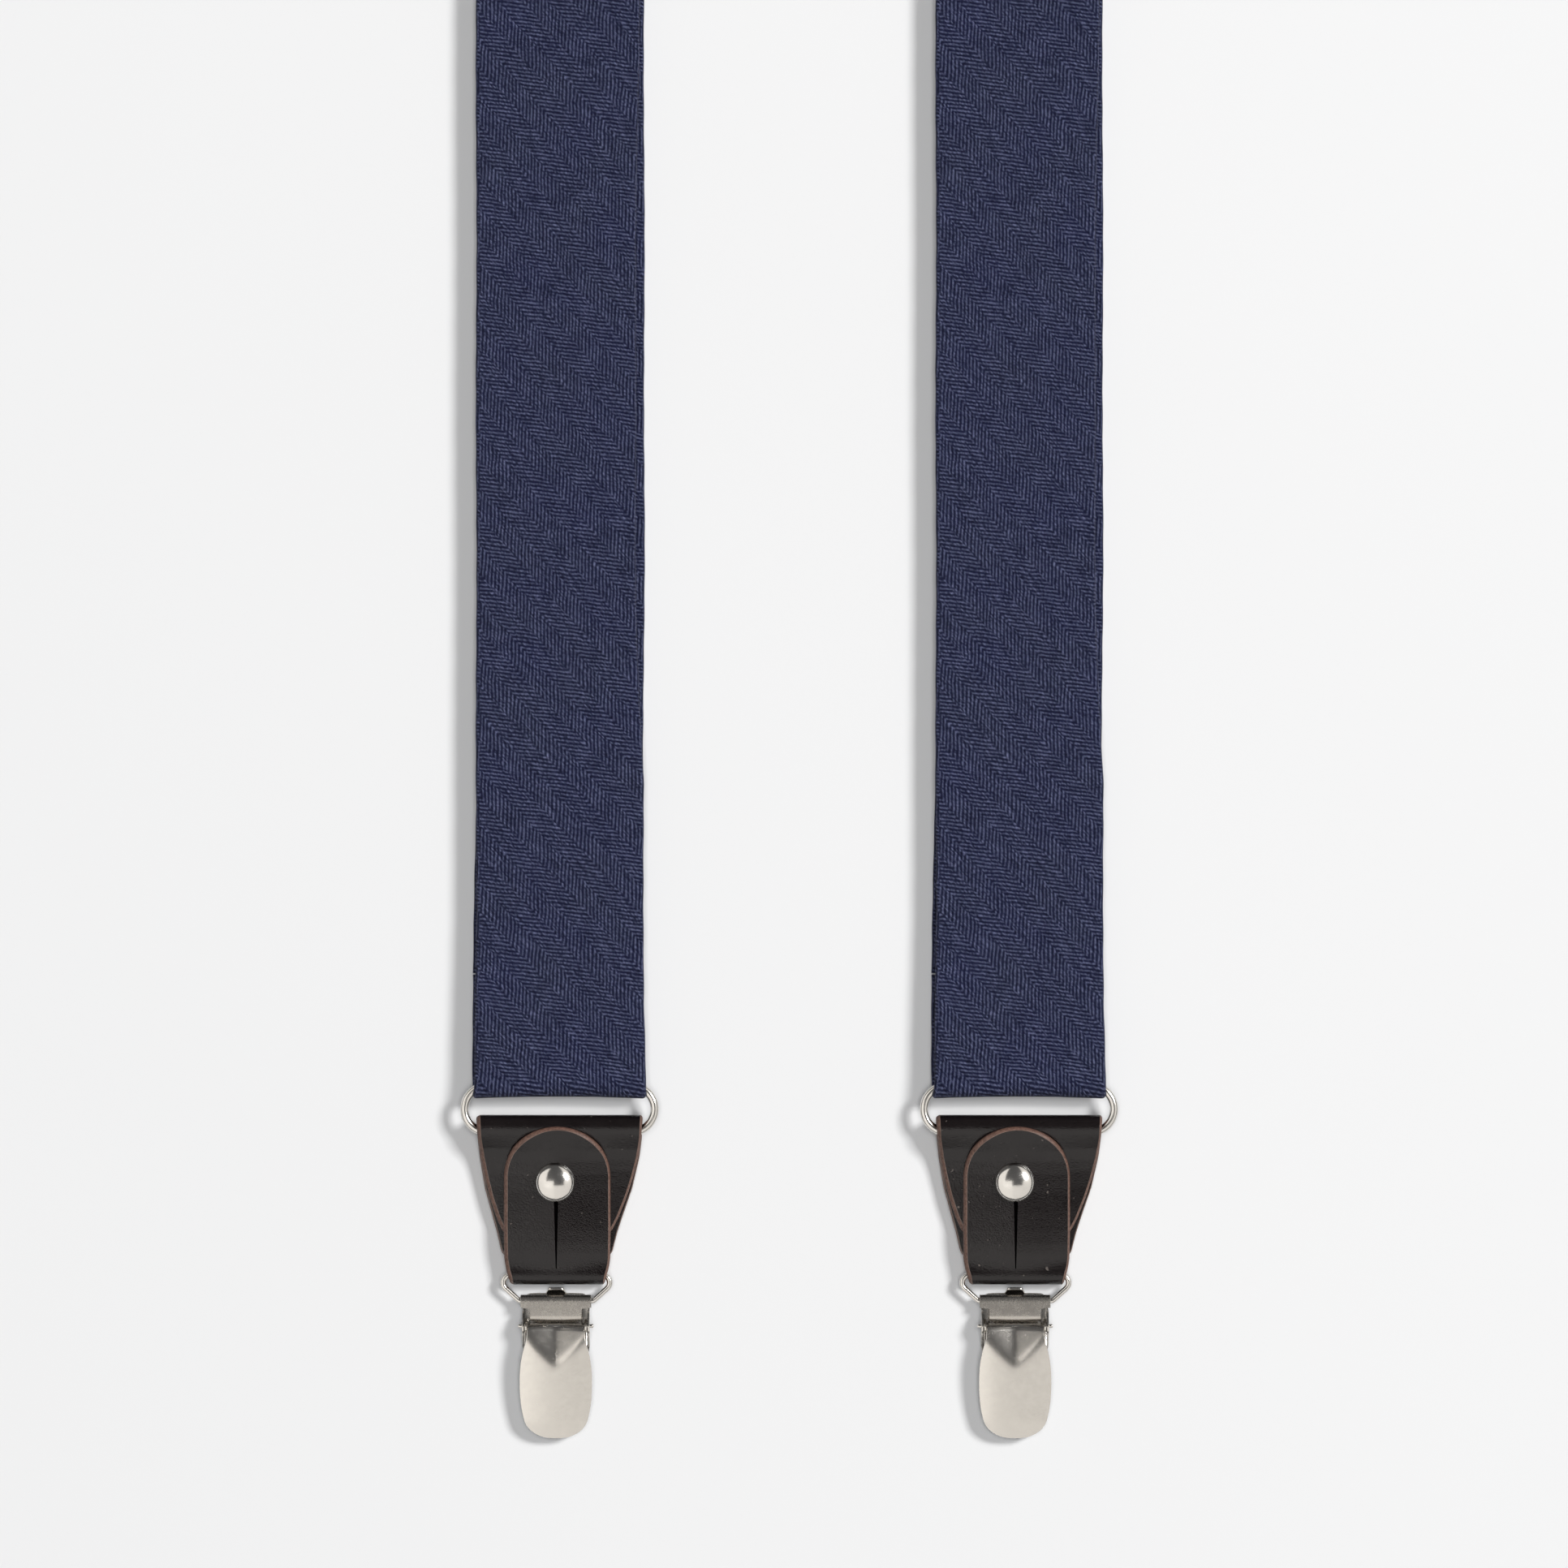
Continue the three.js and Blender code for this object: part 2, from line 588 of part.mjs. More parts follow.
// The back plate, with the two ears that carry the pin and the tongue that keeps the bail in.
function clipBase() {
  const end = hingeY - BASE_LENGTH;
  const wide = half(BASE_WIDTH);
  const earEnd = hingeY - EAR_START - EAR_LENGTH;
  const tongueRoot = hingeY + rollRadius + half(PLATE) + 0.25;
  const plan = mirrored([
    at(half(BASE_TOP_WIDTH), tongueRoot),
    at(wide, hingeY - 0.8),
    at(wide, earEnd),
    at(wide - 0.6, earEnd - 3),
    at(wide - 0.6, end + 3),
    at(wide - 3.2, end),
  ]);
  const earTop = EAR_HEIGHT;
  const ear = new THREE.Shape([
    at(earEnd, 0),
    at(hingeY - EAR_START, 0),
    at(hingeY - EAR_START, earTop * 0.62),
    ...arc(pinY, PIN_Z, earTop - PIN_Z, 60, 130, 5),
    at(earEnd, earTop * 0.3),
  ]);
  const tongue = new THREE.Shape([
    at(half(TONGUE_WIDTH), 0),
    at(half(TONGUE_TIP), TONGUE_LENGTH),
    at(-half(TONGUE_TIP), TONGUE_LENGTH),
    at(-half(TONGUE_WIDTH), 0),
  ]);
  const options = { depth: PLATE, bevelEnabled: false };
  const flap = new THREE.ExtrudeGeometry(tongue, options)
    .rotateX(TONGUE_LEAN)
    .translate(0, tongueRoot + half(PLATE), half(BASE_PLATE));
  const earX = wide - half(PLATE);
  return joined([
    upright(plan, 0, BASE_PLATE),
    acrossX(ear, PLATE, -earX),
    acrossX(ear, PLATE, earX),
    solidOf(flap),
  ]).subtract(pinHole());
}

const clipPin = () => barAlongX(half(PIN_WIRE), PIN_LENGTH, 0, pinY, PIN_Z, 10);

function gripPad() {
  const end = hingeY - BASE_LENGTH + 0.6;
  const z = BASE_PLATE + FIT;
  return box(-half(PAD_WIDTH), half(PAD_WIDTH), end, end + PAD_LENGTH, z, z + PAD_THICK);
}

// The sprung jaw: rolled round the bail's bar, it dips under the pin and ends in teeth over the pad.
function jaw() {
  const tip = hingeY - JAW_LENGTH;
  const top = bailZ + rollRadius;
  const line = [
    ...arc(hingeY, bailZ, rollRadius, -110, 90, 10),
    at(pinY + 1.55, top),
    at(pinY + 1.05, top - 0.5),
    at(pinY + 0.85, JAW_LOW_Z + 0.5),
    at(pinY + 0.3, JAW_LOW_Z),
    at(tip, JAW_LOW_Z),
  ];
  const sheet = acrossX(band(line, PLATE), JAW_ROLL_WIDTH);
  const narrow = half(JAW_WIDTH);
  const shoulder = hingeY - EAR_START + 0.5;
  const plan = mirrored([
    at(half(JAW_ROLL_WIDTH), hingeY + 3),
    at(half(JAW_ROLL_WIDTH), shoulder),
    at(narrow, shoulder),
    at(narrow, tip),
  ]);
  const body = sheet.intersect(upright(plan, -1, 12));
  const teeth = 6;
  const pitch = JAW_WIDTH / teeth;
  const low = BASE_PLATE + FIT + PAD_THICK + FIT;
  const comb = new THREE.Shape([
    at(narrow, JAW_LOW_Z),
    at(-narrow, JAW_LOW_Z),
    ...Array.from({ length: teeth }, (_, i) => [
      at(-narrow + i * pitch, JAW_LOW_Z - half(PLATE)),
      at(-narrow + (i + 0.5) * pitch, low),
    ]).flat(),
    at(narrow, JAW_LOW_Z - half(PLATE)),
  ]);
  const row = new THREE.ExtrudeGeometry(comb, { depth: PLATE, bevelEnabled: false });
  return body.add(solidOf(row.rotateX(Math.PI / 2).translate(0, tip + PLATE, 0)));
}

// The lever: a crowned cover with two lugs on the pin and a cam that holds the jaw down.
function lever() {
  const lip = pinY - 0.6;
  const end = lip - LEVER_LENGTH;
  const lipZ = PIN_Z + 0.7;
  const crown = LEVER_CROWN - half(PLATE);
  const profile = new THREE.CatmullRomCurve3([
    new THREE.Vector3(lip, lipZ, 0),
    new THREE.Vector3(lip - LEVER_LENGTH * 0.1, lipZ + 0.55, 0),
    new THREE.Vector3(lip - LEVER_LENGTH * 0.3, crown - 0.15, 0),
    new THREE.Vector3(lip - LEVER_LENGTH * 0.55, crown, 0),
    new THREE.Vector3(lip - LEVER_LENGTH * 0.85, crown - 1.3, 0),
    new THREE.Vector3(end, crown - 2.9, 0),
  ]);
  const line = profile.getPoints(14).map((p) => at(p.x, p.y));
  const cover = acrossX(band(line, PLATE), LEVER_WIDTH + 1);
  const wide = half(LEVER_WIDTH);
  const outline = new THREE.SplineCurve([
    at(half(LEVER_LIP_WIDTH), lip + 0.4),
    at(half(LEVER_LIP_WIDTH) + 0.1, lip - 2),
    at(wide * 0.93, lip - 5),
    at(wide, lip - LEVER_LENGTH * 0.45),
    at(wide * 0.95, lip - LEVER_LENGTH * 0.7),
    at(wide * 0.84, end + 2.4),
    at(wide * 0.5, end + 0.45),
    at(0, end),
  ]);
  const plan = mirrored(outline.getPoints(20));
  const lugX = half(BASE_WIDTH) - PLATE - LUG_INSET - half(PLATE);
  const lug = new THREE.Shape([
    ...arc(pinY, PIN_Z, LUG_RADIUS, 60, 270, 10),
    at(pinY + LUG_RADIUS * 0.8, PIN_Z - LUG_RADIUS * 0.6),
    at(pinY + LUG_RADIUS, PIN_Z),
  ]);
  const web = new THREE.Shape([
    at(pinY, PIN_Z - 0.5),
    at(pinY - 0.7, lipZ),
    at(lip - 2.3, lipZ + 0.5),
    at(lip - 2.3, lipZ - 0.5),
  ]);
  const cam = new THREE.Shape([
    at(lip - 0.1, lipZ),
    at(lip - 0.1, JAW_LOW_Z + half(PLATE) + SEAM),
    at(lip - 1.2, JAW_LOW_Z + half(PLATE) + SEAM),
    at(lip - 1.5, lipZ + 0.2),
  ]);
  const reversed = (shape) => new THREE.Shape(shape.getPoints().reverse());
  const lugs = [-lugX, lugX].flatMap((x) => [acrossX(lug, PLATE, x), acrossX(reversed(web), PLATE, x)]);
  return joined([
    cover.intersect(upright(plan, -1, 12)),
    ...lugs,
    acrossX(reversed(cam), JAW_WIDTH - 2, 0),
  ]).subtract(pinHole());
}

// ---------------------------------------------------------------- the three ends
function strapEnd(where, x, y, turn) {
  const group = new THREE.Group();
  group.position.set(x, y, 0);
  group.rotation.z = turn;
  suspenders.add(group);
  add(group, `ring_${where}`, ring(), nickel);
  add(group, `leather_yoke_${where}`, yoke(), leather);
  add(group, `leather_tab_${where}`, tab(), leather);
  add(group, `stud_${where}`, stud(), nickel);
  add(group, `stud_base_${where}`, studBase(), nickel);
  add(group, `clip_bail_${where}`, bail(), nickel);

  const clip = new THREE.Group();
  clip.position.x = CLIP_SHIFT;
  group.add(clip);
  add(clip, `clip_base_${where}`, clipBase(), satinNickel);
  add(clip, `clip_pin_${where}`, clipPin(), nickel);
  add(clip, `clip_grip_pad_${where}`, gripPad(), gripPlastic);
  add(clip, `clip_jaw_${where}`, jaw(), satinNickel);
  add(clip, `clip_lever_${where}`, lever(), satinNickel);
}

frontStraps();
backPatch();
backElastic();
strapEnd("left", -half(STRAP_SPACING), 0, 0);
strapEnd("right", half(STRAP_SPACING), 0, 0);
strapEnd("back", 0, backRingY, Math.PI);

// The origin is the bottom centre of the object's box.
suspenders.updateMatrixWorld(true);
const bounds = new THREE.Box3().setFromObject(suspenders, true);
const middle = bounds.getCenter(new THREE.Vector3());
suspenders.position.set(-middle.x, -middle.y, -bounds.min.z);

const object = new THREE.Group();
object.add(suspenders);
export default object;
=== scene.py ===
# %% [markdown]
# # Suspenders
# Two navy herringbone straps, rings, leather ends and lever clips, laid flat with the outer side up.
# The CAD model gives every place and size; this script gives the pieces their real shapes and finishes.
# Each piece is a surface worked out with numpy over two parameters, so a learner can change one formula
# and see the whole piece follow it.

# %% Set-up
import math

import bmesh
import bpy
import numpy as np
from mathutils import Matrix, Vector


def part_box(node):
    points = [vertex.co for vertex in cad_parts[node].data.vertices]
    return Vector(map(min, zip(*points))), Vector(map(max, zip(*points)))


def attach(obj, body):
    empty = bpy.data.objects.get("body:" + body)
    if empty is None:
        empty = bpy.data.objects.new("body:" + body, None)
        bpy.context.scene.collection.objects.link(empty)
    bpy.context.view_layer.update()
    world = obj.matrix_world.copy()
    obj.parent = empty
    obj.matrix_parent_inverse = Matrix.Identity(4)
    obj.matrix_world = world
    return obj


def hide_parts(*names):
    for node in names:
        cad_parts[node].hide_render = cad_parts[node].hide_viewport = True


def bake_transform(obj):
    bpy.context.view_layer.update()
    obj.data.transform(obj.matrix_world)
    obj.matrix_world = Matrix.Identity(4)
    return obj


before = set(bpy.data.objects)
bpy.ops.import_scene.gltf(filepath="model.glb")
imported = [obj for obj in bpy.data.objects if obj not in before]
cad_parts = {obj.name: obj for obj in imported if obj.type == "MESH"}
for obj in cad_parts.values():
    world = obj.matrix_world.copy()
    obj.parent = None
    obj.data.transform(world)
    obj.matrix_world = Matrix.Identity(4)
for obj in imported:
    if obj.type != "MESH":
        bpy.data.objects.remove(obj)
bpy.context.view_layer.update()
MM = 0.001

# %% [markdown]
# ## The three ends
# Each strap ends in the same set of ring, leather and clip. One set of formulas serves all three ends, in
# millimetres from the ring's centre, with the clip towards -Y; the back end is the same turned half round.
# An end is stored as its ring's centre and the sign of that turn.

# %% Where the ends are
ENDS = {}
for where, turn in (("left", 1), ("right", 1), ("back", -1)):
    low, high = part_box(f"ring_{where}")
    ENDS[where] = ((low.x + high.x) / 2 / MM, (low.y + high.y) / 2 / MM, turn)
RING_Z = sum(corner.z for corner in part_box("ring_left")) / 2 / MM
for where, centre in ENDS.items():
    print("ring centre, mm:", where, [round(v, 2) for v in centre], "height", round(RING_Z, 3))


def at_end(where, x, y, z):
    """Points of one end, in metres: the end's own millimetres, turned by its sign and moved to its ring."""
    x0, y0, turn = ENDS[where]
    x, y, z = np.broadcast_arrays(x, y, z)
    return np.stack([x0 + turn * x, y0 + turn * y, z], axis=-1) * MM


# %% [markdown]
# ## From a grid of points to a mesh
# A grid of points becomes a mesh by joining each point to its neighbours. Ends that shrink to a point or
# close on themselves are welded afterwards, so every piece is one closed skin with its faces outwards.

# %% Mesh from a grid
def weld(mesh, sharp):
    """Merges points that coincide, turns all faces outwards, and shades smooth up to a fold in degrees."""
    work = bmesh.new()
    work.from_mesh(mesh)
    bmesh.ops.remove_doubles(work, verts=work.verts, dist=2e-7)
    bmesh.ops.dissolve_degenerate(work, edges=work.edges, dist=1e-8)
    bmesh.ops.recalc_face_normals(work, faces=work.faces)
    work.to_mesh(mesh)
    work.free()
    mesh.shade_smooth()
    mesh.set_sharp_from_angle(angle=math.radians(sharp))


def skin(name, points, uv=None, edge=None, loop_rows=False, loop_columns=False, sharp=50):
    """A closed mesh over a grid of points. uv is in metres and has one more row or column where the grid
    loops; edge is a value from -1 to 1 at each point, kept as the attribute "edge"."""
    rows, columns = points.shape[:2]
    index = np.arange(rows * columns).reshape(rows, columns)
    last_row = rows if loop_rows else rows - 1
    last_column = columns if loop_columns else columns - 1
    i, j = np.meshgrid(np.arange(last_row), np.arange(last_column), indexing="ij")
    corners = [(i, j), (i, j + 1), (i + 1, j + 1), (i + 1, j)]
    faces = np.stack([index[a % rows, b % columns] for a, b in corners], axis=-1).reshape(-1, 4)
    mesh = bpy.data.meshes.new(name)
    mesh.from_pydata(points.reshape(-1, 3).tolist(), [], faces.tolist())
    if uv is not None:
        layer = mesh.uv_layers.new(name="cloth")
        values = np.stack([uv[a, b] for a, b in corners], axis=2).reshape(-1)
        layer.data.foreach_set("uv", values.astype(np.float32))
    if edge is not None:
        attribute = mesh.attributes.new("edge", "FLOAT", "POINT")
        attribute.data.foreach_set("value", edge.reshape(-1).astype(np.float32))
    weld(mesh, sharp)
    obj = bpy.data.objects.new(name, mesh)
    bpy.context.scene.collection.objects.link(obj)
    return obj


def together(name, objects):
    """One object from several, keeping their faces and materials."""
    for o in bpy.context.selected_objects:
        o.select_set(False)
    for o in objects:
        o.select_set(True)
    bpy.context.view_layer.objects.active = objects[0]
    bpy.ops.object.join()
    objects[0].name = objects[0].data.name = name
    return objects[0]


# %% [markdown]
# ## Lines that pieces follow
# Folded cloth and leather follow a line seen from the side. Such a line is drawn with a few points and arcs
# and then rounded by cutting its corners, which is how a draughtsman fairs a curve.

# %% Side lines
def arc(y, z, radius, start, stop, steps):
    """Points on a circle about (y, z): centre plus radius times cosine and sine of the angle, in degrees."""
    a = np.radians(np.linspace(start, stop, steps + 1))
    return np.stack([y + radius * np.cos(a), z + radius * np.sin(a)], axis=1)


def faired(points, rounds=2):
    """Corner cutting: each round puts two points on every leg, at a quarter and at three quarters of it."""
    for _ in range(rounds):
        a, b = points[:-1], points[1:]
        cut = np.stack([0.75 * a + 0.25 * b, 0.25 * a + 0.75 * b], axis=1).reshape(-1, points.shape[1])
        points = np.concatenate([points[:1], cut, points[-1:]])
    return points


def lengths(points):
    """Distance along a line at each of its points."""
    return np.concatenate([[0], np.cumsum(np.linalg.norm(np.diff(points, axis=0), axis=1))])


def directions(points):
    """The direction of a line at each of its points, one unit long."""
    step = np.gradient(points, axis=0)
    return step / np.linalg.norm(step, axis=1)[:, None]


def evenly(points, step):
    """The same line with points a fixed step apart."""
    s = lengths(points)
    t = np.linspace(0, s[-1], max(2, int(round(s[-1] / step)) + 1))
    return np.stack([np.interp(t, s, points[:, k]) for k in range(points.shape[1])], axis=1)


def smooth(x, low, high):
    """0 below low, 1 above high, and the S curve 3t^2 - 2t^3 between them."""
    t = np.clip((x - low) / (high - low), 0, 1)
    return t * t * (3 - 2 * t)


# %% [markdown]
# ## Camera
# The camera looks straight down on the two front ends from well above, so that the straps run out of
# the top of the view and nothing is seen in perspective.

# %% Camera
VIEW_WIDTH = 0.3284  # metres of table from side to side
CAMERA_HEIGHT = 2.0
SENSOR = 36
CAMERA_SHIFT = (-0.0011, 0.0679)  # from the middle of the two front rings
left_x, ring_y, _ = ENDS["left"]
right_x = ENDS["right"][0]
camera_data = bpy.data.cameras.new("camera")
camera_data.sensor_width = SENSOR
camera_data.lens = SENSOR * CAMERA_HEIGHT / VIEW_WIDTH
camera_data.clip_start, camera_data.clip_end = 0.05, 60
camera = bpy.data.objects.new("camera", camera_data)
camera.location = (
    (left_x + right_x) / 2 * MM + CAMERA_SHIFT[0],
    ring_y * MM + CAMERA_SHIFT[1],
    CAMERA_HEIGHT,
)
bpy.context.scene.collection.objects.link(camera)
bpy.context.scene.camera = camera
bpy.context.scene.view_settings.view_transform = "Standard"
print("camera at", [round(v, 4) for v in camera.location], "lens", round(camera_data.lens, 1))

# %% [markdown]
# ## Light and floor
# The object lies on a pale table. A key softbox on the right throws the short shadow to the left, and a
# soft light from above fills it. Wide cards hang over the table too: they are only seen in the metal and in
# the sheen of the leather. Between them the dark studio shows, straight above and towards the straps, which
# gives the metal its dark streaks. A small bright window among the left-hand cards picks out the grain of
# leather that leans to the left.

# %% Floor, lights and surroundings
LAMP = 1.04  # one setting for the brightness of all lamps


def softbox(name, place, aim, size, radiance, diffuse=True, glossy=True, tint=(1, 1, 1)):
    """A rectangular light at a place, facing a point. Its power is pi times its area times its radiance."""
    data = bpy.data.lights.new(name, "AREA")
    data.shape, data.size, data.size_y = "RECTANGLE", size[0], size[1]
    data.energy = math.pi * size[0] * size[1] * radiance * LAMP
    data.color = tint
    light = bpy.data.objects.new(name, data)
    light.location = place
    light.rotation_mode = "QUATERNION"
    light.rotation_quaternion = (Vector(aim) - Vector(place)).to_track_quat("-Z", "Y")
    light.visible_camera = False
    light.visible_diffuse = diffuse
    light.visible_glossy = glossy
    bpy.context.scene.collection.objects.link(light)
    return light


CARD_HEIGHT = 3.0
STAND = (0.0, -0.46)  # the spot on the table that the cards are placed over


def card(name, left, right, near, far, radiance, tint=(1, 0.97, 0.93)):
    """A level card seen only in reflections. Its sides are given as slopes, sideways over height."""
    middle = (STAND[0] + CARD_HEIGHT * (left + right) / 2, STAND[1] + CARD_HEIGHT * (near + far) / 2)
    size = (CARD_HEIGHT * (right - left), CARD_HEIGHT * (far - near))
    softbox(name, (*middle, CARD_HEIGHT), (*middle, 0), size, radiance, diffuse=False, tint=tint)


softbox("key", (4.3, 1.8, 5.2), (*STAND, 0), (1.6, 1.6), 44.0)
softbox("fill_above", (0, -0.37, 6.4), (0, -0.37, 0), (2.2, 3.0), 8.6, glossy=False)
CARDS = {  # left, right, near, far and radiance
    "card_left": (-3.0, -0.10, -2.5, 0.05, 0.95),
    "card_left_far": (-3.0, -0.52, 0.05, 1.4, 1.0),
    "card_window": (-0.60, -0.20, -0.15, 0.02, 9.0),
    "card_front": (-0.10, 0.45, -3.0, -0.17, 0.84),
    "card_right": (0.45, 3.0, -2.5, 0.05, 0.8),
    "card_right_far": (0.55, 3.0, 0.05, 2.5, 0.8),
}
for name, sides in CARDS.items():
    card(name, *sides)

world = bpy.data.worlds.new("studio")
world.use_nodes = True
world.node_tree.nodes["Background"].inputs["Color"].default_value = (0.93, 0.93, 0.95, 1)
world.node_tree.nodes["Background"].inputs["Strength"].default_value = 0.10
bpy.context.scene.world = world

FLOOR_HALF, FLOOR_POINTS, FLOOR_DROP = 9.0, 7, 0.00002  # the floor lies FLOOR_DROP below height 0
row = np.linspace(-FLOOR_HALF, FLOOR_HALF, FLOOR_POINTS)
fx, fy = np.meshgrid(row, row, indexing="ij")
floor_points = np.stack([fx, fy, np.full_like(fx, -FLOOR_DROP)], axis=-1)
corner = np.arange(FLOOR_POINTS**2).reshape(FLOOR_POINTS, FLOOR_POINTS)
floor_faces = np.stack([corner[:-1, :-1], corner[1:, :-1], corner[1:, 1:], corner[:-1, 1:]], axis=-1)
floor_mesh = bpy.data.meshes.new("floor")
floor_mesh.from_pydata(floor_points.reshape(-1, 3).tolist(), [], floor_faces.reshape(-1, 4).tolist())
floor = bpy.data.objects.new("floor", floor_mesh)
bpy.context.scene.collection.objects.link(floor)
print(len(bpy.data.lights), "lamps and cards over a table", 2 * FLOOR_HALF, "m wide")

# %% [markdown]
# ## Finishes
# Every finish is a small graph of shader nodes. A few helpers keep the graphs short: one adds a node and
# fills its sockets, one does sums, and one maps a value to a colour.

# %% Shader helpers
class Finish:
    """A material under construction: nodes are added in order and wired by passing sockets as values."""

    def __init__(self, name):
        self.material = bpy.data.materials.new(name)
        self.material.use_nodes = True
        self.tree = self.material.node_tree
        self.tree.nodes.clear()
        self.shader = self.node("ShaderNodeBsdfPrincipled")
        out = self.node("ShaderNodeOutputMaterial")
        self.tree.links.new(self.shader.outputs[0], out.inputs[0])

    def node(self, kind, settings=None, **sockets):
        """A node with its settings and its inputs, where an input is a value or another node's socket."""
        made = self.tree.nodes.new(kind)
        for key, value in (settings or {}).items():
            setattr(made, key, value)
        for key, value in sockets.items():
            self.plug(made.inputs[key.replace("_", " ")], value)
        return made

    def plug(self, socket, value):
        if isinstance(value, bpy.types.NodeSocket):
            self.tree.links.new(value, socket)
        else:
            socket.default_value = value

    def sum(self, operation, a, b=0.0, c=0.0):
        """One arithmetic step on up to three values or sockets."""
        made = self.tree.nodes.new("ShaderNodeMath")
        made.operation = operation
        for socket, value in zip(made.inputs, (a, b, c)):
            self.plug(socket, value)
        return made.outputs[0]

    def scale(self, value, low, high, to_low=0.0, to_high=1.0):
        """Maps a value from one range onto another, held inside it."""
        made = self.tree.nodes.new("ShaderNodeMapRange")
        for socket, v in zip(made.inputs, (value, low, high, to_low, to_high)):
            self.plug(socket, v)
        return made.outputs[0]

    def mix(self, factor, a, b):
        """A colour between a and b."""
        made = self.tree.nodes.new("ShaderNodeMix")
        made.data_type = "RGBA"
        self.plug(made.inputs[0], factor)
        for socket, value in ((made.inputs[6], a), (made.inputs[7], b)):
            self.plug(socket, (*value, 1) if isinstance(value, tuple) and len(value) == 3 else value)
        return made.outputs[2]

    def noise(self, vector, scale, detail=2.0, roughness=0.5):
        settings = {"Vector": vector, "Scale": scale, "Detail": detail, "Roughness": roughness}
        return self.node("ShaderNodeTexNoise", **settings).outputs[0]

    def relief(self, height, depth, strength=1.0, after=None):
        """Bump: height from 0 to 1 stands for a depth in metres."""
        made = self.node("ShaderNodeBump", Strength=strength, Distance=depth, Height=height)
        if after is not None:
            self.plug(made.inputs["Normal"], after)
        return made.outputs[0]

    def set(self, **sockets):
        for key, value in sockets.items():
            if isinstance(value, tuple) and len(value) == 3 and "Color" in key:
                value = (*value, 1)
            self.plug(self.shader.inputs[key.replace("_", " ")], value)
        print("finish", self.material.name, "from", len(self.tree.nodes), "nodes")
        return self.material


def colour(r, g, b):
    """Linear colour from the usual 0 to 255 screen values, by the screen's curve."""
    c = np.array([r, g, b]) / 255
    return tuple(float(v) for v in np.where(c <= 0.04045, c / 12.92, ((c + 0.055) / 1.055) ** 2.4))


# %% [markdown]
# ### Table
# A matt painted board, very nearly plain: its tone only drifts a little over a hand's width.

# %% Table finish
paint = Finish("table_paint")
place = paint.node("ShaderNodeTexCoord").outputs["Object"]
drift = paint.noise(place, 5.0, 3.0)
paint.set(Base_Color=paint.mix(drift, (0.845, 0.845, 0.845), (0.86, 0.86, 0.86)), Roughness=0.85)
paint.shader.inputs["Specular IOR Level"].default_value = 0.1
floor.data.materials.append(paint.material)

# %% [markdown]
# ### Herringbone cloth
# The cloth is a twill whose ribs change direction from stripe to stripe, cut on the bias, so the stripes run
# slantwise down the strap. Its UV map holds millimetres of cloth as metres, across and along. The yarn runs
# along the stripes; upright ribs and nearly level ribs take turns from one stripe to the next.

# %% Herringbone finish
STRIPE_ANGLE = -47  # of the yarn and the stripes, from the strap's width
STRIPE = 0.0040  # width of one stripe, metres
RIB = 0.00078  # from one rib to the next
YARN = 0.00026


def waves(f, u, v, angle, pitch, shift=0.0):
    """A wave from 0 to 1 whose crests run at an angle: half of 1 + sin(2 pi d / pitch), d being the distance
    across the crests, v cos(angle) - u sin(angle)."""
    a = math.radians(angle)
    across = f.sum("SUBTRACT", f.sum("MULTIPLY", v, math.cos(a)), f.sum("MULTIPLY", u, math.sin(a)))
    turn = f.sum("MULTIPLY_ADD", across, 2 * math.pi / pitch, shift)
    return f.sum("MULTIPLY_ADD", f.sum("SINE", turn), 0.5, 0.5)


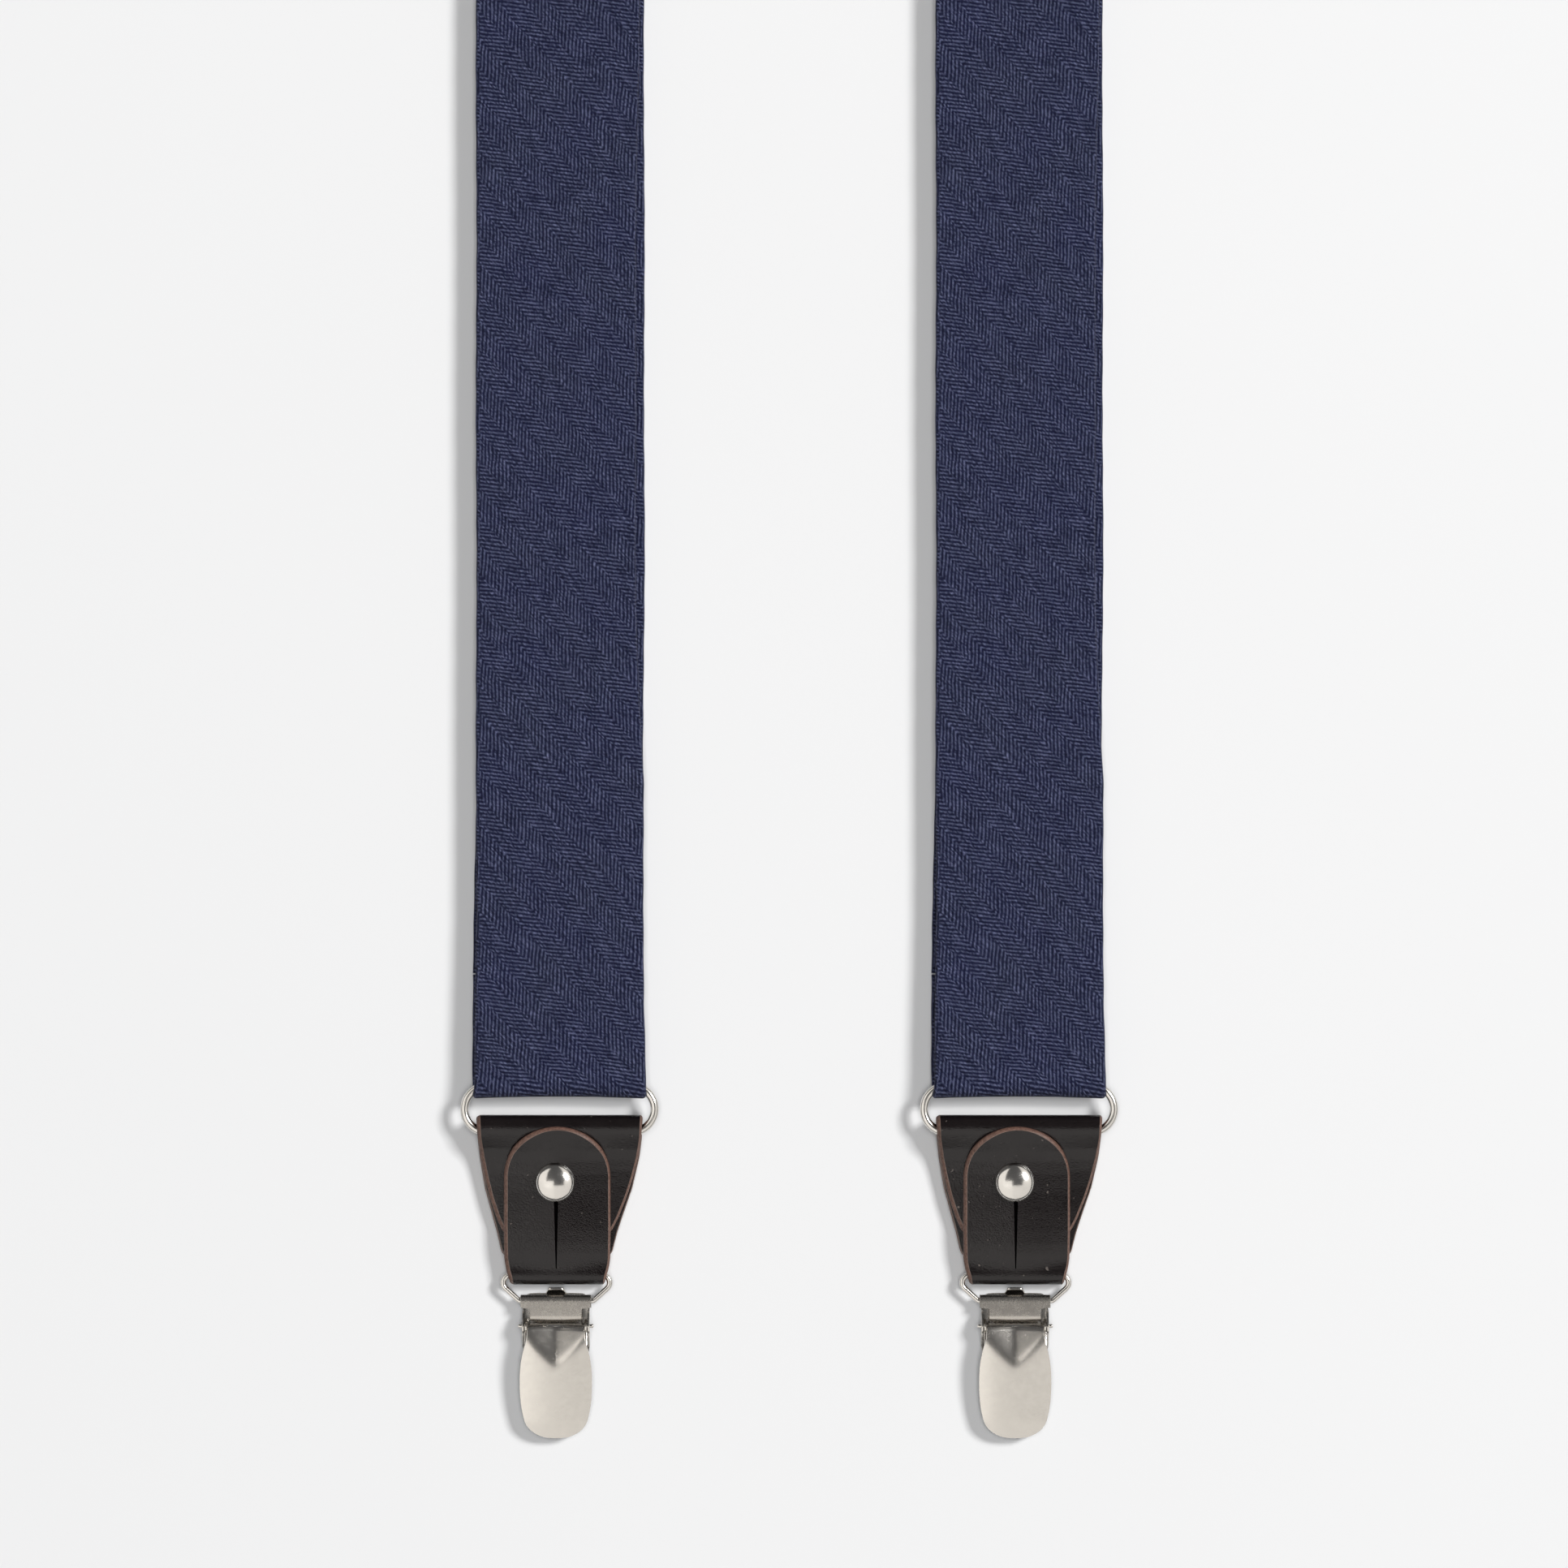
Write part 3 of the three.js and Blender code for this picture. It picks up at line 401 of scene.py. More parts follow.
def herringbone(name):
    """Lift = 0.16 rib + 0.46 dash + 0.26 streak + 0.40 fleck: the ribs of the twill, the yarns as dashes that
    are strongest on a rib, long faint streaks along the yarn, and short flecks. Lift sets tone and relief."""
    f = Finish(name)
    uv = f.node("ShaderNodeUVMap", {"uv_map": "cloth"}).outputs[0]
    split = f.node("ShaderNodeSeparateXYZ", Vector=uv)
    wobble = f.noise(f.node("ShaderNodeMapping", Vector=uv, Scale=(180, 180, 1)).outputs[0], 1.0, 2.0)
    u = f.sum("MULTIPLY_ADD", f.sum("SUBTRACT", wobble, 0.5), 0.0009, split.outputs[0])
    v = f.sum("MULTIPLY_ADD", f.sum("SUBTRACT", wobble, 0.5), -0.0007, split.outputs[1])
    a = math.radians(STRIPE_ANGLE)
    across = f.sum("SUBTRACT", f.sum("MULTIPLY", v, math.cos(a)), f.sum("MULTIPLY", u, math.sin(a)))
    along = f.sum("ADD", f.sum("MULTIPLY", u, math.cos(a)), f.sum("MULTIPLY", v, math.sin(a)))
    stripe = f.sum("PINGPONG", f.sum("DIVIDE", across, STRIPE), 1.0)
    level = f.scale(stripe, 0.47, 0.53)
    upright_rib = waves(f, u, v, 88, RIB)
    level_rib = waves(f, u, v, -7, RIB * 1.02)
    upright = f.sum("MULTIPLY", upright_rib, f.sum("SUBTRACT", 1.0, level))
    rib = f.sum("ADD", f.sum("MULTIPLY", level_rib, level), upright)
    yarn = waves(f, u, v, STRIPE_ANGLE - 1, YARN)

    def drawn(per_metre_along, per_metre_across, detail):
        """Noise drawn out along the yarn."""
        x, y = f.sum("MULTIPLY", along, per_metre_along), f.sum("MULTIPLY", across, per_metre_across)
        return f.noise(f.node("ShaderNodeCombineXYZ", X=x, Y=y).outputs[0], 1.0, detail)

    streak = f.scale(drawn(240.0, 3800.0, 2.0), 0.36, 0.68)
    fleck = f.scale(drawn(1700.0, 4200.0, 1.0), 0.3, 0.7)
    cloud = f.noise(f.node("ShaderNodeMapping", Vector=uv, Scale=(70, 70, 1)).outputs[0], 1.0, 2.0)
    dash = f.sum("MULTIPLY", f.sum("POWER", yarn, 0.8), f.sum("MULTIPLY_ADD", rib, 0.55, 0.45))
    lift = f.sum("MULTIPLY_ADD", rib, 0.16, f.sum("MULTIPLY", dash, 0.46))
    lift = f.sum("MULTIPLY_ADD", streak, 0.26, lift)
    lift = f.sum("MULTIPLY_ADD", fleck, 0.40, lift)
    light = f.scale(lift, 0.26, 1.14)
    grey = f.mix(cloud, colour(23, 27, 62), colour(33, 38, 56))
    tone = f.mix(f.scale(light, 0.0, 0.45), colour(7, 9, 30), grey)
    tone = f.mix(f.scale(light, 0.42, 1.0), tone, colour(124, 130, 166))
    bump = f.relief(lift, 0.00012, 0.8)
    f.set(Base_Color=tone, Roughness=0.82, Normal=bump)
    f.shader.inputs["Sheen Weight"].default_value = 0.06
    f.shader.inputs["Sheen Roughness"].default_value = 0.5
    f.shader.inputs["Specular IOR Level"].default_value = 0.12
    return f.material


cloth = herringbone("navy_herringbone")

# %% [markdown]
# ### Elastic
# Knitted elastic has narrow ribs along its length and a fine zigzag of yarn across them.

# %% Elastic finish
f = Finish("navy_elastic")
uv = f.node("ShaderNodeUVMap", {"uv_map": "cloth"}).outputs[0]
split = f.node("ShaderNodeSeparateXYZ", Vector=uv)
rib = waves(f, split.outputs[0], split.outputs[1], 90, 0.0011)
purl = waves(f, f.sum("PINGPONG", split.outputs[0], 0.00055), split.outputs[1], 30, 0.0007)
speck = f.noise(f.node("ShaderNodeMapping", Vector=uv, Scale=(2500, 1200, 1)).outputs[0], 1.0, 1.0)
knit = f.sum("MULTIPLY_ADD", purl, 0.45, f.sum("MULTIPLY", rib, 0.55))
shade = f.sum("MULTIPLY", knit, f.scale(speck, 0.2, 0.7, 0.6, 1.0))
tone = f.mix(shade, colour(18, 20, 40), colour(66, 70, 102))
f.set(Base_Color=tone, Roughness=0.8, Normal=f.relief(knit, 0.0003, 0.8))
f.shader.inputs["Specular IOR Level"].default_value = 0.25
elastic = f.material

# %% [markdown]
# ### Leather
# Smooth black-brown calf with a fine pebbled grain and a soft shine, cut by knife so that its edges
# show the raw red-brown fibre. The piece's own attribute "edge" is 1 on the cut, 0 on the face and -1 at
# the bottom of a slit, where painted shade colours the leather near black.

# %% Leather finish
def calf(name):
    """Pebbles are rounded cells about 0.28 mm apart, bent by noise; they give the face its relief, and painted
    shade darkens the grooves between them. The face has specks of dust, the cut has fibre, and a pale crease
    parts the two."""
    f = Finish(name)
    place = f.node("ShaderNodeTexCoord").outputs["Object"]
    bend = f.node("ShaderNodeTexNoise", Vector=place, Scale=800.0, Detail=3.0).outputs["Color"]
    moved = f.node("ShaderNodeVectorMath", {"operation": "MULTIPLY_ADD"})
    for socket, value in zip(moved.inputs, (bend, (0.0004, 0.0004, 0.0004), place)):
        f.plug(socket, value)
    stretched = f.node("ShaderNodeMapping", Vector=moved.outputs[0], Scale=(0.85, 1.2, 1.0)).outputs[0]
    cell = f.node(
        "ShaderNodeTexVoronoi", {"feature": "SMOOTH_F1"}, Vector=stretched, Scale=3600.0, Smoothness=0.5
    )
    pebble = f.scale(cell.outputs["Distance"], 0.15, 0.75, 1.0, 0.0)
    fine = f.noise(place, 5200.0, 2.0)
    broad = f.noise(place, 140.0, 3.0)
    grain = f.sum("MULTIPLY_ADD", fine, 0.3, pebble)
    edge = f.node("ShaderNodeAttribute", {"attribute_name": "edge"}).outputs["Fac"]
    fibre = f.noise(f.node("ShaderNodeMapping", Vector=place, Scale=(1900, 1900, 6000)).outputs[0], 1.0, 3.0)
    dust = f.scale(f.noise(place, 900.0, 1.0), 0.745, 0.80)
    face = f.mix(f.scale(broad, 0.3, 0.7), colour(19, 14, 14), colour(26, 21, 21))
    # painted shade: the grooves between the pebbles are coloured darker
    face = f.mix(f.scale(pebble, 0.0, 0.5, 0.6, 0.0), face, colour(13, 10, 10))
    face = f.mix(f.sum("MULTIPLY", dust, 0.35), face, colour(150, 140, 132))
    raw = f.mix(f.scale(fibre, 0.3, 0.7), colour(66, 43, 35), colour(122, 92, 79))
    crease = f.scale(f.sum("ABSOLUTE", f.sum("SUBTRACT", edge, 0.5)), 0.1, 0.45, 0.5, 0.0)
    # painted shade: where the edge value is -1, at the bottom of a slit, the colour goes near black for the
    # shade deep in the cut
    slit = f.scale(edge, -0.4, 0.0, 1.0, 0.0)
    tone = f.mix(crease, f.mix(edge, face, raw), colour(142, 122, 110))
    black, white = (0, 0, 0), (1, 1, 1)
    height = f.mix(edge, f.mix(grain, black, white), f.mix(fibre, black, white))
    f.set(
        Base_Color=f.mix(slit, tone, colour(3, 2, 2)),
        Roughness=f.sum("MULTIPLY_ADD", f.sum("ABSOLUTE", edge), 0.36, f.scale(broad, 0.2, 0.8, 0.13, 0.18)),
        Normal=f.relief(height, 0.000032, 0.8),
    )
    f.shader.inputs["Specular IOR Level"].default_value = 0.43
    return f.material


leather = calf("black_calf")

# %% [markdown]
# ### Metal and plastic
# The wires, studs and clips are nickel: bright with faint scuffs, a little duller on the pressed sheet, and
# darker and worn on the jaws. The grip pad is a pale moulded plastic.

# %% Metal and plastic finishes
def nickel(name, tone, roughness, scuffs, pits):
    """Nickel of a tone and a roughness; clouds of scuffs make it rougher, and pits have a depth in metres."""
    f = Finish(name)
    place = f.node("ShaderNodeTexCoord").outputs["Object"]
    cloud = f.noise(place, 420.0, 4.0, 0.6)
    speck = f.noise(place, 5200.0, 2.0)
    wear = f.sum("MULTIPLY", f.scale(cloud, 0.35, 0.75), f.scale(speck, 0.45, 0.75))
    f.set(
        Base_Color=f.mix(f.scale(cloud, 0.25, 0.75), tone, tuple(v * 0.93 for v in tone)),
        Metallic=1.0,
        Roughness=f.sum("MULTIPLY_ADD", wear, scuffs, roughness),
        Normal=f.relief(speck, pits, 0.5),
    )
    return f.material


bright_nickel = nickel("polished_nickel", (0.72, 0.695, 0.655), 0.15, 0.16, 0.000003)
sheet_nickel = nickel("satin_nickel", (0.665, 0.635, 0.59), 0.18, 0.18, 0.000004)
worn_nickel = nickel("worn_nickel", (0.52, 0.49, 0.45), 0.24, 0.20, 0.000009)

f = Finish("grip_plastic")
place = f.node("ShaderNodeTexCoord").outputs["Object"]
mould = f.noise(place, 900.0, 3.0)
f.set(
    Base_Color=f.mix(mould, (0.76, 0.74, 0.68), (0.83, 0.81, 0.76)),
    Roughness=0.42,
    Normal=f.relief(f.noise(place, 3500.0, 1.0), 0.00002, 0.5),
)
grip_plastic = f.material

f = Finish("waxed_thread")
place = f.node("ShaderNodeTexCoord").outputs["Object"]
bands = {"bands_direction": "DIAGONAL"}
twist = f.node("ShaderNodeTexWave", bands, Vector=place, Scale=1400.0, Distortion=1.0).outputs["Fac"]
f.set(
    Base_Color=f.mix(twist, (0.012, 0.012, 0.02), (0.05, 0.05, 0.075)),
    Roughness=0.5,
    Normal=f.relief(twist, 0.00006, 0.8),
)
thread = f.material


def finish(obj, material, slot, body, *nodes):
    """Gives a piece its material, sets it on its body, and hides the CAD nodes it replaces; slot is not used.
    """
    obj.data.materials.clear()
    obj.data.materials.append(material)
    if body is not None:
        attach(obj, body)
    if nodes:
        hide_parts(*nodes)
    if "nickel" in material.name:
        obj.visible_diffuse = False  # keeps the metal from throwing bright specks of light on the table
    print(f"{obj.name}: {len(obj.data.polygons)} faces of {material.name}")
    return obj


# %% [markdown]
# ## Cloth bands
# A strap is a flat tube of cloth. Its section is a slot shape: two flat sides joined by half circles. The
# section is carried along the strap's line, so the two parameters are the place round the section and the
# distance along the strap. The UV map holds the distance round and along, which keeps the weave true on
# every fold.

# %% Band of cloth
STRAP_HALF = 17.6  # half the width of the cloth strap
FLAT_COLUMNS = 34
EDGE_COLUMNS = 7
BAND_TILT = np.radians(np.linspace(90, -90, EDGE_COLUMNS + 2)[1:-1])
level, turn_over = np.zeros(FLAT_COLUMNS), np.ones(EDGE_COLUMNS)
BAND_ACROSS = np.concatenate(
    [np.linspace(-1, 1, FLAT_COLUMNS), turn_over, np.linspace(1, -1, FLAT_COLUMNS), -turn_over]
)
BAND_OUT = np.concatenate([level, np.cos(BAND_TILT), level, -np.cos(BAND_TILT)])
BAND_UP = np.concatenate([level + 1, np.sin(BAND_TILT), level - 1, -np.sin(BAND_TILT)])


def band(name, centre, side, normal, left, right, thick, start=0.0, ripple=0.04, bow=None):
    """A flat tube of cloth along a line. Point = centre + side * x + normal * h, where x runs from left to
    right across the strap and h is half the thickness on each face, with a faint ripple. In millimetres."""
    rows = len(centre)
    given = (np.asarray(v, float) for v in (left, right, thick))
    left, right, thick = (np.broadcast_to(v, (rows,))[:, None] for v in given)
    r = thick / 2
    x = left + r + (right - left - 2 * r) * (BAND_ACROSS + 1) / 2 + r * BAND_OUT
    s = start + lengths(centre)[:, None]
    wave = np.sin(s / 7.3 + x / 7) + 0.6 * np.sin(s / 3.1 + 2 + x / 4.7)
    h = r * BAND_UP + ripple * wave * (BAND_OUT == 0) * (BAND_UP > 0)
    x = x + ripple * BAND_OUT * (np.sin(s / 1.7) + 2 * np.sin(s / 11.0))
    h = np.concatenate([0 * h[:1], h, 0 * h[-1:]])
    x, s = (np.concatenate([v[:1], v, v[-1:]]) for v in (x, s))
    centre, side, normal = (np.concatenate([v[:1], v, v[-1:]]) for v in (centre, side, normal))
    points = centre[:, None] + side[:, None] * x[..., None] + normal[:, None] * h[..., None]
    if bow is not None:
        points[..., 1] += np.concatenate([bow[:1], bow, bow[-1:]])[:, None] * (1 - (x / STRAP_HALF) ** 2)
    ring = np.stack([x[1], h[1]], axis=1)
    girth = lengths(np.concatenate([ring, ring[:1]]))
    u = np.broadcast_to(x[1, 0] + girth, (rows + 2, len(girth)))
    uv = np.stack([u, np.broadcast_to(-s, u.shape)], axis=-1) * MM
    return skin(name, points * MM, uv, loop_columns=True, sharp=70)


def straight_band(name, line, x0, left, right, thick, start=0.0, turn=1, y0=0.0):
    """A band whose line lies in an upright plane: line holds y and z, and the strap's width runs along X. The
    normal is the line's direction turned a quarter, so the first point's upper side stays outside."""
    step = directions(line)
    zero = np.zeros(len(line))
    centre = np.stack([zero + x0, y0 + turn * line[:, 0], line[:, 1]], axis=1)
    side = np.stack([zero + turn, zero, zero], axis=1)
    normal = np.stack([zero, turn * step[:, 1], -step[:, 0]], axis=1)
    return band(name, centre, side, normal, left, right, thick, start)


# %% [markdown]
# ### The two front straps
# Each strap comes down from the back patch in a long curve, runs straight to its ring, folds round it and
# ends under itself, where the layer that goes back up to the adjuster takes over. The front layer is laid a
# little skew on the back layer, so a sliver of the back layer shows at the upper right and the lower left.

# %% Front straps
STRAP_THICK = 1.5
LEAN_START, LEAN_RADIUS = 355.0, 1400.0
FRONT_Z, LOW_Z, PATCH_Z, FLOOR_Z = 5.55, 1.7, 2.15, 0.75
STRAP_FOLD = (4.75, 1.95)  # place and radius of the fold in the ring
RETURN_START = 28.0  # the front piece ends here underneath, and the return piece takes over

strap_line = np.concatenate(
    [
        [(LEAN_START, PATCH_Z), (LEAN_START - 1, PATCH_Z), (LEAN_START - 18, FRONT_Z)],
        [(60, FRONT_Z), (12, FRONT_Z + 0.65)],
        arc(STRAP_FOLD[0], RING_Z, STRAP_FOLD[1], 85, 275, 18),
        [(11, LOW_Z + 0.4), (15, LOW_Z - 0.3), (22, FLOOR_Z), (RETURN_START, FLOOR_Z)],
    ]
)
strap_line = faired(strap_line)
strap_length = lengths(strap_line)
fold_at = strap_length[np.argmin(strap_line[:, 0])]
strap_line = evenly(strap_line, 0.9)
strap_length = lengths(strap_line)


def front_strap(side):
    """The lean is an arc of a wide circle in the plan; the rest is upright. The two are joined row by row."""
    sign = -1 if side == "left" else 1
    x0, y0, _ = ENDS[side]
    top_y = (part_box(f"front_strap_cover_{side}")[1].y / MM) - y0
    turn = np.arcsin((top_y - 3.5 - LEAN_START) / LEAN_RADIUS)
    angle = np.linspace(turn, 0, 150)[:-1]
    lean = np.stack(
        [
            x0 - sign * LEAN_RADIUS * (1 - np.cos(angle)),
            y0 + LEAN_START + LEAN_RADIUS * np.sin(angle),
            np.full_like(angle, PATCH_Z),
        ],
        axis=1,
    )
    lean_side = np.stack([np.cos(angle), sign * np.sin(angle), 0 * angle], axis=1)
    lean_up = np.broadcast_to([0.0, 0, 1], lean.shape)
    step = directions(strap_line)
    zero = np.zeros(len(strap_line))
    centre = np.concatenate([lean, np.stack([zero + x0, y0 + strap_line[:, 0], strap_line[:, 1]], axis=1)])
    across = np.concatenate([lean_side, np.stack([zero + 1, zero, zero], axis=1)])
    up = np.concatenate([lean_up, np.stack([zero, step[:, 1], -step[:, 0]], axis=1)])
    # the edges, by distance up the front layer from the fold, and below zero on the layer underneath
    s = np.concatenate([[strap_length[0] - fold_at - 1] * len(angle), strap_length - fold_at])
    up_front = -s
    left = np.interp(
        up_front,
        [-26, -10, -3, 0, 4, 8, 16, 40],
        [-18.3, -18.3, -18.2, -17.95, -17.6, -17.6, -17.65, -17.4],
    )
    right = np.interp(
        up_front,
        [-26, -8, 0, 5, 20, 66, 82, 100, 120, 160, 196, 230, 275],
        [16.7, 17.4, 18.0, 18.0, 17.65, 17.6, 16.7, 16.1, 15.95, 15.95, 16.15, 16.8, 17.5],
    )
    bow = 0.42 * (1 - smooth(np.abs(s), 3, 12))
    thick = STRAP_THICK - 0.15 * (1 - smooth(np.abs(s), 4, 14))
    piece = band(f"cloth_front_{side}", centre, across, up, left, right, thick, bow=bow)
    nodes = (f"front_strap_cover_{side}", f"front_strap_interlining_{side}")
    finish(piece, cloth, "herringbone", "straps", *nodes)
    return piece


for side in ("left", "right"):
    front_strap(side)

# %% [markdown]
# ### The layer that goes back to the adjuster
# Underneath, the cloth goes back up to the adjuster's centre bar and is sewn round it. It lengthens and
# shortens as the adjuster slides.

# %% Back layers and sewn ends
def stitches(name, path, up, length=2.3, gap=0.9, width=0.42, lift=0.06):
    """Small stitches along a path: each is a low pill, six sided, whose radius follows cos(t)^0.6."""
    path = np.asarray(path, float)
    s = lengths(path)
    count = max(1, int(s[-1] // (length + gap)))
    middle = (np.arange(count) + 0.5) * s[-1] / count
    at = np.stack([np.interp(middle, s, path[:, k]) for k in range(3)], axis=1)
    ahead = np.stack([np.interp(middle + 0.2, s, path[:, k]) for k in range(3)], axis=1)
    behind = np.stack([np.interp(middle - 0.2, s, path[:, k]) for k in range(3)], axis=1)
    along = ahead - behind
    along /= np.linalg.norm(along, axis=1)[:, None]
    up = np.broadcast_to(np.asarray(up, float), along.shape)
    across = np.cross(up, along)
    t = np.radians(np.linspace(-90, 90, 7))
    ring = np.radians(np.arange(6) * 60)
    x = (np.sin(t) * length / 2)[:, None] + 0 * ring
    r = np.cos(t)[:, None] ** 0.6 * width / 2
    y, z = r * np.cos(ring), r * 0.8 * np.sin(ring) + lift
    local = np.stack([x, y, z], axis=-1)
    frames = np.stack([along, across, up], axis=1)
    points = at[:, None, None] + np.einsum("rcl,nlk->nrck", local, frames)
    index = np.arange(count * 7 * 6).reshape(count, 7, 6)
    nxt = np.roll(index, -1, axis=2)
    faces = np.stack([index[:, :-1], nxt[:, :-1], nxt[:, 1:], index[:, 1:]], axis=-1).reshape(-1, 4)
    mesh = bpy.data.meshes.new(name)
    mesh.from_pydata((points.reshape(-1, 3) * MM).tolist(), [], faces.tolist())
    weld(mesh, 60)
    obj = bpy.data.objects.new(name, mesh)
    bpy.context.scene.collection.objects.link(obj)
    obj.data.materials.append(thread)
    return obj


LOOP_FOLD = 1.55  # radius of the sewn loop round the adjuster's bar
SLIDER_Z = 2.3  # height of the adjuster's bar
DOUBLED_Z = 2.45  # height of the upper layer where the end is sewn double
SEAM_LOW_Z = 0.26  # stitches underneath, just clear of the table
for side in ("left", "right"):
    x0, y0, _ = ENDS[side]
    low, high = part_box(f"front_strap_return_{side}")
    line = evenly(np.array([(high.y / MM, FLOOR_Z), (low.y / MM, FLOOR_Z)]), 2.0)
    up_front = line[:, 0] - y0
    left = np.interp(up_front, [28, 60, 120, 240], [-18.2, -17.6, -16.9, -17.3])
    right = np.interp(up_front, [28, 60, 120, 240], [16.8, 17.4, 17.7, 17.6])
    piece = straight_band(f"cloth_return_{side}", line, x0, left, right, STRAP_THICK, start=700)
    finish(piece, cloth, "herringbone", None, f"front_strap_return_{side}")
    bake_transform(piece)
    loop = np.concatenate(
        [
            [(-20, DOUBLED_Z), (-10, DOUBLED_Z), (-6, DOUBLED_Z)],
            arc(0, SLIDER_Z, LOOP_FOLD, 90, -90, 14),
            [(-4, FLOOR_Z), (-20, FLOOR_Z)],
        ]
    )
    loop = evenly(faired(loop), 0.8)
    slide = (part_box(f"slider_frame_{side}")[0].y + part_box(f"slider_frame_{side}")[1].y) / 2 / MM
    thick = STRAP_THICK - 0.05
    piece = straight_band(f"cloth_loop_{side}", loop, x0, -17.45, 17.45, thick, start=930, y0=slide)
    finish(piece, cloth, "herringbone", f"slider_{side}", f"slider_strap_end_{side}")
    rows = []
    for y in (-15.5, -6.5):
        across = np.array([(x0 - 15.5, slide + y, -0.0), (x0 + 15.5, slide + y, -0.0)])
        rows.append(stitches(f"seam_low_{side}_{-y:.0f}", across + (0, 0, SEAM_LOW_Z), (0, 0, -1)))
        rows.append(stitches(f"seam_top_{side}_{-y:.0f}", across + (0, 0, DOUBLED_Z + 0.72), (0, 0, 1)))
    seam = together(f"seam_loop_{side}", rows)
    finish(seam, thread, "herringbone", f"slider_{side}")

# %% [markdown]
# ### Elastic to the back ring
# A length of ribbed elastic joins the patch to the back ring. It stretches, and its sewn end folds round
# the back ring.

# %% Elastic
low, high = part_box("back_elastic")
x_back, y_back, _ = ENDS["back"]
line = evenly(np.array([(high.y / MM, PATCH_Z), (low.y / MM, PATCH_Z)]), 2.0)
piece = straight_band("elastic_back", line, x_back, -17.5, 17.5, STRAP_THICK)
finish(piece, elastic, "elastic", None, "back_elastic")
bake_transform(piece)

line = np.concatenate(
    [
        [(44.7, PATCH_Z), (41, PATCH_Z), (33, DOUBLED_Z), (25, DOUBLED_Z + 0.3)],
        arc(STRAP_FOLD[0], RING_Z, STRAP_FOLD[1], 90, 270, 16),
        [(14.9, LOW_Z), (24, FLOOR_Z), (32.9, FLOOR_Z)],
    ]
)
line = evenly(faired(line), 0.8)
thick = STRAP_THICK - 0.06
piece = straight_band("elastic_loop", line, x_back, -17.5, 17.5, thick, start=200, turn=-1, y0=y_back)
finish(piece, elastic, "elastic", "elastic_end", "back_elastic_end")
rows = []
for k, y in enumerate((24.5, 30.5)):
    z_top = np.interp(y, line[:40, 0][::-1], line[:40, 1][::-1]) + 0.74
    across = np.array([(x_back - 15.5, y_back - y, z_top), (x_back + 15.5, y_back - y, z_top)])
    rows.append(stitches(f"seam_back_top_{k}", across, (0, 0, 1)))
    across[:, 2] = SEAM_LOW_Z
    rows.append(stitches(f"seam_back_low_{k}", across, (0, 0, -1)))
finish(together("seam_elastic", rows), thread, "elastic", "elastic_end")

# %% [markdown]
# ## Leather cut to an outline
# Yoke, tab and patch are flat pieces of leather cut to an outline and then folded. The surface has two
# parameters: the place round the outline, and the way in from the cut edge to a spine in the middle. It is
# worked out flat, and the flat sheet is then lifted onto the fold's side line, so the leather keeps its
# length as it turns round the ring. The cut edge is bevelled and carries the attribute "edge".

# %% Outlined sheets
RIM = [  # in from the outline, height as a share of half the thickness, and how much of it is cut fibre
    (2.2, 1.0, 0.0), (1.2, 1.0, 0.0), (1.08, 1.0, 0.0), (1.0, 0.99, 0.5), (0.9, 0.94, 1.0), (0.45, 0.62, 1.0),
    (0.1, 0.22, 1.0), (0.0, -0.1, 1.0), (0.0, -0.7, 1.0), (0.12, -0.95, 1.0),
    (0.3, -1.0, 0.3), (0.6, -1.0, 0.0),
]


def outlined(name, outline, spine_in, thick, lift, rim=0.62, slit=None, columns=12, spine_x=0.0):
    """A closed sheet over an outline. Flat point = rim point moved towards its spine point; the spine point
    is the same place along, held spine_in away from both ends. lift turns flat points into real ones. slit
    gives the half width and depth of a V-shaped cut along the spine, whose bottom has the edge value -1, which
    marks painted shade: the leather finish colours that bottom near black."""
    along, wide = outline[:, 0], outline[:, 1]
    step = directions(outline)
    n_along, n_wide = -step[:, 1], step[:, 0]
    n_along[[0, -1]], n_wide[[0, -1]] = (-1, 1), 0
    spine_along = np.clip(along, along[0] + spine_in, along[-1] - spine_in)
    halves = []
    for sign in (1, -1):
        cut = rim * (1 - 0.28 * sign * n_wide[:, None])
        d = np.array([r[0] for r in RIM])[None, :] * cut
        flat_y = along[:, None] - n_along[:, None] * d
        flat_x = wide[:, None] - n_wide[:, None] * d
        h = np.broadcast_to(np.array([r[1] for r in RIM]) * thick / 2, flat_x.shape)
        fibre = np.broadcast_to(np.array([r[2] for r in RIM]), flat_x.shape)
        gap, depth = (0 * along, 0 * along) if slit is None else slit(spine_along)
        t = np.linspace(0, 1, columns)[None, :-1] ** 0.9
        centre_x = spine_x * sign
        top_x = (centre_x + gap[:, None]) + (flat_x[:, :1] - centre_x - gap[:, None]) * t
        top_y = spine_along[:, None] + (flat_y[:, :1] - spine_along[:, None]) * t
        top_h = np.full(top_x.shape, thick / 2)
        floor = thick / 2 - depth[:, None]
        low_x = centre_x + (flat_x[:, -1:] - centre_x) * t[:, ::-1]
        low_y = spine_along[:, None] + (flat_y[:, -1:] - spine_along[:, None]) * t[:, ::-1]
        x = np.concatenate([0 * floor + centre_x, centre_x + gap[:, None], top_x, flat_x, low_x], axis=1)
        y = np.concatenate([spine_along[:, None], spine_along[:, None], top_y, flat_y, low_y], axis=1)
        z = np.concatenate([floor, 0 * floor + thick / 2 * 0.9, top_h, h, 0 * low_x - thick / 2], axis=1)
        # an edge value of -1 marks the slit's bottom, which the leather finish paints near black as shade
        e = np.concatenate([-1.0 * (depth[:, None] > 0), 0 * floor, 0 * top_h, fibre, 0 * low_x], axis=1)
        halves.append((sign * x, y, z, e))
    x, y, z, e = (np.concatenate([a, b[::-1]]) for a, b in zip(*halves))
    return skin(name, lift(x, y, z), edge=e, loop_rows=True, sharp=38)


